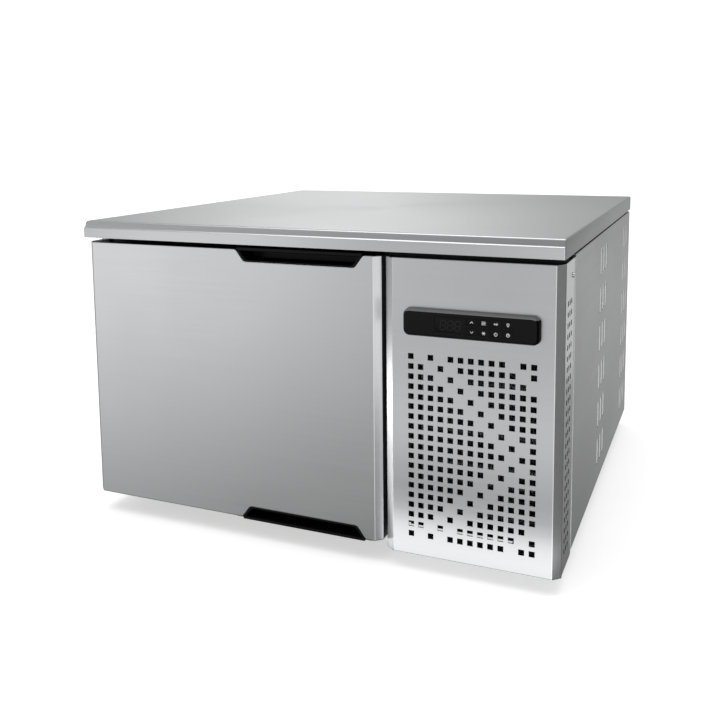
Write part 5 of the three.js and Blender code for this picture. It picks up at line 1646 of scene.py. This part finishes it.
@dataclass
class FingerPull:
    """The pocket for the fingers in an edge of the door: wide at the edge, narrower inside."""

    from_edge: float = 125 * MM
    open_width: float = 203 * MM
    floor_width: float = 176 * MM
    height: float = 18 * MM
    corner: float = 8 * MM
    ear: float = 5 * MM
    rim: float = 5 * MM
    sill: float = 2.5 * MM
    back: float = 30 * MM
    depth: float = 34 * MM
    roof: tuple[float, float] = (1.5 * MM, 7 * MM)
    rise: float = 2.5 * MM
    rise_half: float = 99.5 * MM
    undercut: tuple[float, float, float] = (75 * MM, 5 * MM, 1.2 * MM)

    def outline(self, top: float, middle: float, margin: float = 0.0) -> np.ndarray:
        """The opening's line in X and Z at the top edge, from left to right.

        Inside the sheet's opening the line keeps a margin to its slanted sides and, up to the
        sill, to its floor.

        Args:
            top: Level of the edge.
            middle: X of the pull's middle.
            margin: How far the line lies inside the opening.

        Returns:
            Points with X rising along them.
        """
        slope = (self.open_width - self.floor_width) / 2 / self.height
        sill = margin * self.sill / self.rim if margin > GAP else margin
        floor = top - self.height + sill
        half = self.floor_width / 2 - margin + slope * sill
        open_half = half + slope * (top - floor)
        side = [(open_half + 2 * self.ear, top), (open_half, top), (half, floor)]
        corners = [(middle - x, z) for x, z in side] + [(middle + x, z) for x, z in side[::-1]]
        line = rounded_path(corners, (self.ear, self.corner, self.corner, self.ear), 7)
        count = len(line) // 2
        width = self.undercut[0]
        near = width - 1.5 * MM
        stations = middle + np.array([-width, -near, -width / 2, 0, width / 2, near, width])
        across = np.stack([stations, np.full(len(stations), floor)], axis=1)
        return np.concatenate([line[:count], across, line[count:]])

    def _loop(self, line: np.ndarray, middle: float, roof: Sequence[float]) -> np.ndarray:
        """Closes an outline with a line back along its roof.

        Args:
            line: The outline, from left to right.
            middle: X of the pull's middle.
            roof: Level of the roof at its ends and between them.

        Returns:
            Points round the loop.
        """
        ends = line[-1, 0], line[0, 0]
        half = min(self.rise_half, (ends[0] - ends[1]) / 2)
        share = np.array([1, 0.999, 0.5, 0, -0.5, -0.999, -1])
        level = np.array([roof[0], *[roof[1]] * 5, roof[0]])
        return np.concatenate([line, np.stack([middle + half * share, level], axis=1)])

    def _inside(self, top: float, middle: float, margin: float, depth: float) -> np.ndarray:
        """One loop of the pocket: the outline under the sloping roof, with its floor undercut.

        Args:
            top: Level of the door's edge.
            middle: X of the pull's middle.
            margin: How far the loop lies inside the opening.
            depth: How far it lies behind the door's face.

        Returns:
            Points round it.
        """
        line = self.outline(top, middle, margin)
        front, rear = self.roof
        roof = top - front - (rear - front) * depth / self.back
        centre = len(line) // 2
        falling, rising = line[:centre], line[centre:]
        left = np.interp(-roof, -falling[:, 1], falling[:, 0])
        right = np.interp(roof, rising[:, 1], rising[:, 0])
        line[:, 0] = np.clip(line[:, 0], left, right)
        line[:, 1] = np.minimum(line[:, 1], roof)
        width, lip, drop = self.undercut
        deep = (np.abs(line[:, 0] - middle) < width - 1 * MM) & (depth > lip)
        line[deep, 1] -= drop
        loop = self._loop(line, middle, (roof, roof))
        upper = loop[len(line) :]
        upper[:, 0] = middle + (upper[:, 0] - middle) * min(1, (right - middle) / self.rise_half)
        return loop

    def pocket(self, top: float, middle: float, face: float) -> Mesh:
        """The closed pocket: up the rear wall, out over floor and rim, and back along its outside.

        Args:
            top: Level of the door's edge.
            middle: X of the pull's middle.
            face: Y of the door's face.

        Returns:
            The mesh.
        """
        full = self.rim
        back = [(6.0, 30.0), (3.6, 29.8), (1.9, 29.0), (0.8, 27.6), (0.2, 26.0), (0.0, 24.0)]
        inner = [(full + m * MM, y * MM) for m, y in back]
        inner += [(full, y * MM) for y in (5.6, 4.6, 1.6)]
        inner += [(full - m * MM, y * MM) for m, y in ((0.06, 0.9), (0.25, 0.5), (0.6, 0.25), (1.1, 0.15))]
        rings = []
        for margin, depth in inner:
            rings.append(facing_front(self._inside(top, middle, margin, depth), face + depth))
        for margin, depth in ((1.0, 0.15), (0.55, 0.25), (0.35, 0.6), (0.3, 1.2), (0.3, 34.0)):
            line = self.outline(top, middle, margin * MM)
            line[:, 1] = np.minimum(line[:, 1], top)
            rings.append(facing_front(self._loop(line, middle, (top, top + self.rise)), face + depth * MM))
        return loft(np.array(rings)[:, ::-1])


@dataclass
class Door:
    """Skin, caps with finger pulls, liner and gasket of the door."""

    chamfer: float = 9.5 * MM
    bend: float = 2.0 * MM
    cap: float = 3 * MM
    pull: FingerPull = field(default_factory=FingerPull)
    panel: tuple[float, float] = (30 * MM, 3 * MM)
    gasket_width: float = 12 * MM
    pivot: float = 14 * MM
    boss: tuple[float, float, float] = (5.3 * MM, 10 * MM, 20 * MM)

    def build(self) -> None:
        """Makes the door's pieces."""
        low, high = span("door_skin")
        level = (low[2] + high[2]) / 2
        add("door_sheet", self.skin(), FRONT_STEEL, "door", ["door_skin"])
        cap = self.cap_moulding()
        for end, moulding in (("top", cap), ("bottom", turned_over(cap, level))):
            add(f"{end}_cap_moulding", moulding, BLACK, "door", [f"door_{end}_cap"])
        add("door_liner_sheet", self.liner(), FRAME_STEEL, "door", ["door_liner"])
        add("gasket_profile", self.gasket(), GASKET, "door", ["door_gasket"])
        dress(["door_foam"], FOAM)
        for node in ("upper_hinge_pin", "lower_hinge_pin"):
            add(f"{node}_turned", self.pin(node), POLISHED, "cabinet", [node])
        dress(["upper_hinge_bracket", "lower_hinge_bracket"], ZINC)

    def plan(self) -> np.ndarray:
        """The skin's line in X and Y: returns, chamfers and face, with rounded bends.

        Returns:
            Points along the line.
        """
        low, high = span("door_skin")
        face, rear = low[1], high[1]
        corners = [
            (low[0], rear),
            (low[0], face + self.chamfer),
            (low[0] + self.chamfer, face),
            (high[0] - self.chamfer, face),
            (high[0], face + self.chamfer),
            (high[0], rear),
        ]
        return rounded_path(corners, self.bend)

    def skin(self) -> Mesh:
        """The folded skin: P(s, t) runs up from the lower edge to the upper one at each station s.

        The two edges follow the outlines of the finger pulls where these cut into the face.

        Returns:
            The mesh.
        """
        low, high = span("door_skin")
        opening = self.pull.outline(high[2], high[0] - self.pull.from_edge)
        plan = self.plan()
        line = divided(plan, along_face(plan, low[1], opening[:, 0]))
        on_face = line[:, 1] < low[1] + ON_PLANE
        dip = np.where(on_face, high[2] - np.interp(line[:, 0], opening[:, 0], opening[:, 1]), 0)
        inside = beside(line, SHEET)
        shares = np.repeat([0.0, 0.3, 0.7, 1.0], [len(EDGE_STEPS), 1, 1, len(EDGE_STEPS)])[:, None]
        steps = np.concatenate([EDGE_STEPS, [0, 0], -EDGE_STEPS[::-1]])[:, None]
        insets = np.concatenate([edge_inset(EDGE_STEPS), [0, 0], edge_inset(EDGE_STEPS[::-1])])
        levels = (low[2] + dip) * (1 - shares) + (high[2] - dip) * shares + steps
        outer = [np.column_stack([beside(line, inset), level]) for inset, level in zip(insets, levels)]
        inner = [np.column_stack([inside, level]) for level in levels]
        return shell(np.array(outer), np.array(inner))

    def cap_moulding(self) -> Mesh:
        """The top cap: its plate round the pocket for the fingers, and the boss of the pivot.

        Returns:
            The mesh.
        """
        low, high = span("door_skin")
        top, face = high[2], low[1]
        middle = high[0] - self.pull.from_edge
        pocket = self.pull.pocket(top, middle, face)
        inset = SHEET + GAP
        half = pocket[0][:, 0].max() - middle
        ends = np.array([low[0] + inset, low[0] + self.chamfer + inset * 0.4])
        x = np.array([*ends, middle - half, middle + half, *(low[0] + high[0] - ends[::-1])])
        lead = np.array([self.chamfer, inset, inset, inset, inset, self.chamfer])
        rows = np.stack([face + lead, np.full(6, face + self.pull.depth), np.full(6, high[1] - GAP)])
        upper = np.stack([np.broadcast_to(x, rows.shape), rows, np.full(rows.shape, top)], axis=2)
        keep = np.ones((2, 5), bool)
        keep[0, 2] = False
        plate = shell(upper, upper - [0, 0, self.cap], keep)
        pivot = (low[0] + self.pivot, span("upper_hinge_pin")[0][1] + 9 * MM, top)
        bore, radius, length = self.boss
        boss = lathe([(bore, 0), (bore, -length), (radius, -length), (radius, 0)], pivot)
        return joined([pocket, plate, boss])

    def liner(self) -> Mesh:
        """The door's inner sheet: a flat border, a soft step and a raised middle.

        Returns:
            The mesh.
        """
        low, high = span("door_liner")
        margin, rise = self.panel
        face = high[1] - rise
        turn = np.linspace(0, math.pi, 9)
        steps = [(0, face - SHEET), (0, face - 0.5 * MM), (0.15 * MM, face - 0.15 * MM), (0.6 * MM, face)]
        steps.append((margin - 3.4 * MM, face))
        steps += [(margin - 3 * MM + 3 * MM * a / math.pi, face + rise * (1 - math.cos(a)) / 2) for a in turn]
        steps.append((margin + 0.5 * MM, face + rise))
        rings = [front_ring(low, high, inset, depth, 1 * MM + inset * 0.25, 5) for inset, depth in steps]
        return loft(np.array(rings)[:, ::-1])

    def gasket(self) -> Mesh:
        """The gasket: a closed bellows section carried round the door with mitred corners.

        Returns:
            The mesh.
        """
        low, high = span("door_gasket")
        depth = high[1] - low[1]
        half = self.gasket_width / 2
        section = [(1.0, 0.0), (1.0, 0.16), (0.72, 0.24), (0.45, 0.32), (0.42, 0.42), (0.6, 0.5)]
        section += [(0.92, 0.56), (1.0, 0.66), (1.0, 0.88), (0.9, 0.97), (0.6, 1.0)]
        section += [(-x, y) for x, y in section[::-1]]
        rings = [front_ring(low, high, half * (1 - x), low[1] + depth * y, 0.4 * MM, 1) for x, y in section]
        return loft(np.array(rings)[:, ::-1], round_trip=True)

    def pin(self, node: str) -> Mesh:
        """A hinge pin with its collar, turned with softened edges.

        Args:
            node: The solid that it is shown for.

        Returns:
            The mesh.
        """
        low, high = span(node)
        middle = (low + high) / 2
        collar = (high[0] - low[0]) / 2
        upper = node.startswith("upper")
        beside_it = span("door_skin"), span(node.replace("pin", "bracket"))
        below, above = beside_it if upper else beside_it[::-1]
        start, end = below[1][2] + GAP, above[0][2] - GAP
        pin, stub = (5 * MM, 4 * MM) if upper else (4 * MM, 5 * MM)
        soft = 0.5 * MM
        profile = [(0, low[2]), (pin - soft, low[2]), (pin, low[2] + soft), (pin, start)]
        profile += [(collar - soft, start), (collar, start + soft), (collar, end - soft)]
        profile += [(collar - soft, end), (stub, end), (stub, high[2] - soft), (stub - soft, high[2])]
        profile.append((0, high[2]))
        return lathe(profile, (middle[0], middle[1], 0), segments=32)


# ------------------------------------------------------------------ cell


@dataclass
class Cell:
    """Liner, evaporator with its cover, guard and fan, racks and tray."""

    cove: float = 12 * MM
    wall: float = 1 * MM
    opening: float = 100 * MM
    wire: float = 1.25 * MM
    guard_rings: tuple[float, ...] = (12 * MM, 31.2 * MM, 55.2 * MM, 79.2 * MM)
    spokes: int = 8
    fan_lift: float = 24
    fin_spacing: float = 5 * MM

    def build(self) -> None:
        """Makes the cell's pieces."""
        add("liner_box", self.liner(), CELL_STEEL, "cabinet", ["inner_liner"])
        add("air_cover_sheet", self.air_cover(), FRAME_STEEL, "cabinet", ["evaporator_cover"])
        add("guard_wires", self.guard(), POLISHED, "cabinet")
        blade, coil = "evaporator_fan_blade", "evaporator_coil"
        add("cell_fan", fan_rotor(blade, self.fan_lift), BLACK, "evaporator_fan", [blade])
        add("evaporator_fins", fin_block(coil, self.fin_spacing), FIN, "cabinet", [coil])
        dress(["left_pan_rack", "right_pan_rack", "drip_tray"], CELL_STEEL)
        dress(["evaporator_fan_motor"], GREY)

    def liner(self) -> Mesh:
        """The liner as a loft: outside from the back to the mouth, then inside to the coved back.

        Returns:
            The mesh.
        """
        low, high = span("inner_liner")
        back, cove = high[1] - self.wall, 6 * MM
        steps = [(self.wall, low[1]), (self.wall, back - cove - 0.5 * MM)]
        for turn in np.linspace(0, math.pi / 2, 6):
            steps.append((self.wall + cove * (1 - math.cos(turn)), back - cove * (1 - math.sin(turn))))
        rings = [front_ring(low, high, 0, depth, self.cove, 8) for depth in (high[1], low[1])]
        rings += [front_ring(low, high, inset, depth, self.cove - self.wall, 8) for inset, depth in steps]
        return loft(np.array(rings)[:, ::-1])

    def air_cover(self) -> Mesh:
        """The plate in front of the evaporator, from its edge to the rolled rim of the fan opening.

        Each ray from the middle meets the edge of the plate at min(w / |cos a|, h / |sin a|).

        Returns:
            The mesh.
        """
        low, high = span("evaporator_cover")
        rotor = middle_of("evaporator_fan_blade")
        front, back, bar = low[1] + 4.5 * MM, high[1], 2 * MM
        half = (high - low)[XZ] / 2
        corner = math.atan2(half[1], half[0])
        corners = [corner, -corner, math.pi - corner, corner - math.pi]
        angles = np.unique(np.concatenate([np.linspace(-math.pi, math.pi, 97)[:-1], corners]))
        way = np.stack([np.cos(angles), np.sin(angles)], axis=1)
        reach = np.min(half / np.maximum(np.abs(way), 1e-9), axis=1)
        edge = middle_of("evaporator_cover")[XZ] + way * reach[:, None]
        widest = self.opening + 4 * MM
        rim = [(widest, 0.0), (self.opening + 1.5 * MM, 0.25 * MM)]
        rim += [(self.opening + 0.3 * MM, 1.2 * MM), (self.opening, 3 * MM)]
        rim += [(radius + 0.8 * MM, depth + 0.9 * MM) for radius, depth in rim[::-1]]
        rings = [facing_front(edge, front + SHEET), facing_front(edge, front)]
        rings += [facing_front(rotor[XZ] + way * radius, front + depth) for radius, depth in rim]
        parts = [loft(np.array(rings), round_trip=True)]
        arm = [(widest, front + SHEET), (widest, back - bar), (20 * MM, back - bar)]
        for turn in np.radians([45, 135, 225, 315]):
            outward = np.array([math.cos(turn), 0, math.sin(turn)])
            path = np.array([rotor * [1, 0, 1] + outward * radius + [0, depth, 0] for radius, depth in arm])
            parts += [tube(path[:2], bar, 8), tube(path[1:], bar, 8)]
        hub = [(14 * MM, 0), (30 * MM, 0), (30 * MM, 3 * MM), (14 * MM, 3 * MM)]
        return joined([*parts, lathe(hub, (rotor[0], back - 3 * MM, rotor[2]), "y")])

    def guard(self) -> Mesh:
        """Round wires in rings and spokes in front of the fan.

        Returns:
            The mesh.
        """
        low = span("evaporator_cover")[0]
        rotor = middle_of("evaporator_fan_blade")
        depth = low[1] + self.wire
        angle = np.linspace(0, 2 * math.pi, 64, endpoint=False)
        round_way = np.stack([np.cos(angle), np.zeros(64), np.sin(angle)], axis=1)
        middle = np.array([rotor[0], depth, rotor[2]])
        wires = [tube(middle + round_way * radius, self.wire, 8, True) for radius in self.guard_rings]
        reach, bend = self.opening + 5 * MM, 4 * MM
        steps = [(self.guard_rings[0], 0), (reach - bend, 0), (reach - bend * 0.3, bend * 0.3)]
        steps.append((reach, bend))
        for turn in np.arange(self.spokes) * 2 * math.pi / self.spokes:
            outward = np.array([math.cos(turn), 0, math.sin(turn)])
            path = np.array([middle + outward * r + [0, d + 0.6 * MM, 0] for r, d in steps])
            wires.append(tube(path, self.wire * 0.9, 8))
        return joined(wires)


def fan_rotor(node: str, lift: float, blades: int = 5, hub: float = 22 * MM) -> Mesh:
    """A fan about Y: a hub with a domed nose and twisted, cambered blades.

    A blade is P(r, c) with r from the hub to the tip and c across it. It turns about its own
    radius by a lift angle that falls off outwards, its chord widens towards the tip, and it is
    thickest in its middle.

    Args:
        node: The solid that it is shown for.
        lift: Lift angle at the tip, in degrees.
        blades: Number of blades.
        hub: Radius of the hub.

    Returns:
        The mesh.
    """
    low, high = span(node)
    middle = (low + high) / 2
    tip = (high[2] - low[2]) / 2 - 0.5 * MM
    depth = (high[1] - low[1]) * 0.34
    share, across = np.linspace(0, 1, 9), np.linspace(-1, 1, 9)
    radius = hub * 0.85 + (tip - hub * 0.85) * share
    angle = np.radians(lift + 14 * (1 - share))
    chord = (0.20 + 0.16 * share) * tip
    sweep = 0.22 * share**2
    flat = across[None, :] * chord[:, None]
    rise = np.clip(flat * np.sin(angle)[:, None], -depth * 1.25, depth * 1.25)
    camber = 0.06 * chord[:, None] * (1 - across[None, :] ** 2)
    theta = sweep[:, None] + flat * np.cos(angle)[:, None] / radius[:, None]
    x, z = radius[:, None] * np.cos(theta), radius[:, None] * np.sin(theta)
    face = np.stack([x, rise - camber, z], axis=2)
    thickness = 1.0 * MM + 0.8 * MM * (1 - across[None, :] ** 2) * (1 - 0.5 * share[:, None])
    back = face + np.stack([np.zeros_like(x), thickness, np.zeros_like(x)], axis=2)
    blade = shell(back, face)
    parts = []
    for turn in np.arange(blades) * 2 * math.pi / blades:
        cosine, sine = math.cos(turn), math.sin(turn)
        spin = np.array([[cosine, 0, -sine], [0, 1, 0], [sine, 0, cosine]])
        parts.append((blade[0] @ spin.T, blade[1]))
    nose = [(0, -depth), (hub * 0.6, -depth + 0.6 * MM), (hub * 0.92, -depth + 2.5 * MM)]
    nose += [(hub, -depth + 5 * MM), (hub, depth), (hub * 0.85, depth)]
    nose += [(hub * 0.8, depth - 2 * MM), (0, depth - 2 * MM)]
    parts.append(lathe(nose, (0, 0, 0), "y"))
    return moved(joined(parts), middle)


def fin_block(node: str, spacing: float) -> Mesh:
    """A fin block: upright fins a spacing apart between end plates, on round tubes.

    Args:
        node: The solid that it is shown for.
        spacing: Distance between fins.

    Returns:
        The mesh.
    """
    low, high = span(node)
    plate, half, inset = 1.5 * MM, 0.1 * MM, 1.2 * MM
    margin, between = 16 * MM, 25 * MM
    count = int((high[0] - low[0] - 2 * plate) / spacing)
    places = np.linspace(low[0] + plate, high[0] - plate, count + 1)[1:-1]
    fin_low, fin_high = low[1:] + inset, high[1:] - inset
    parts = [slab([x - half, *fin_low], [x + half, *fin_high], 0.04 * MM) for x in places]
    parts += [slab([x, *low[1:]], [x + plate, *high[1:]], 0.3 * MM) for x in (low[0], high[0] - plate)]
    middle, ends = (low[1] + high[1]) / 2, (low[0] + 1 * MM, high[0] - 1 * MM)
    for z in np.arange(low[2] + margin, high[2] - margin, between):
        parts.append(tube(np.array([[x, middle, z] for x in ends]), 4.5 * MM, 12))
    return joined(parts)


# ------------------------------------------------------------------ machine side


@dataclass
class MachineSide:
    """Condenser, fan, compressor, pipes and electrics behind the cover."""

    fan_lift: float = 28
    fin_spacing: float = 4 * MM

    def build(self) -> None:
        """Makes the condenser's fins and fan and the cable gland, and finishes the solids that stay."""
        blade, coil = "condenser_fan_blade", "condenser_coil"
        add("condenser_fins", fin_block(coil, self.fin_spacing), FIN, "cabinet", [coil])
        add("condenser_fan", fan_rotor(blade, self.fan_lift), FIN, "condenser_fan", [blade])
        add("cable_gland_moulding", self.gland(), BLACK, "cabinet", ["cable_gland"])
        dress(["condenser_shroud", "compressor_plate"], ZINC)
        dress(["compressor", "condenser_fan_motor"], PAINT)
        dress(["discharge_pipe", "suction_pipe", "liquid_line_with_drier"], COPPER)
        dress(["electrical_box"], GREY)

    def gland(self) -> Mesh:
        """The cable gland: a bored, rounded stem with a six-sided nut on each side of the sheet.

        Returns:
            The mesh.
        """
        low, high = span("cable_gland")
        middle = (low + high) / 2
        sheet = span("rear_panel")
        bore, stem = 4 * MM, 8 * MM
        profile = [(bore, low[1]), (stem, low[1]), (stem, high[1] - 1.5 * MM)]
        profile += [(stem - 1 * MM, high[1] - 0.3 * MM), (bore + 1 * MM, high[1]), (bore, high[1] - 0.6 * MM)]
        parts = [lathe(profile, (middle[0], 0, middle[2]), "y", 32)]
        nut = (high[2] - low[2]) / 2
        for start, end in ((low[1] + 0.4 * MM, sheet[0][1] - GAP), (sheet[1][1] + GAP, high[1] - 1.2 * MM)):
            section = [(stem - 0.2 * MM, start), (nut - 0.6 * MM, start), (nut, start + 0.5 * MM)]
            section += [(nut, end - 0.5 * MM), (nut - 0.6 * MM, end), (stem - 0.2 * MM, end)]
            parts.append(lathe(section, (middle[0], 0, middle[2]), "y", 6))
        return joined(parts)


# ------------------------------------------------------------------ assembly


def main() -> None:
    """Builds the studio and every sub-assembly in order, and notes the sizes."""
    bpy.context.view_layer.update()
    studio = Studio()
    studio.build()
    for assembly in (Cabinet(), MachineCover(), Controller(), Door(), Cell(), MachineSide()):
        LOG.info("building %s", type(assembly).__name__)
        assembly.build()
    studio.light()


if __name__ == "__main__":
    logging.basicConfig(level=logging.INFO, format="%(name)s: %(message)s")
    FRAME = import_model()
    main()
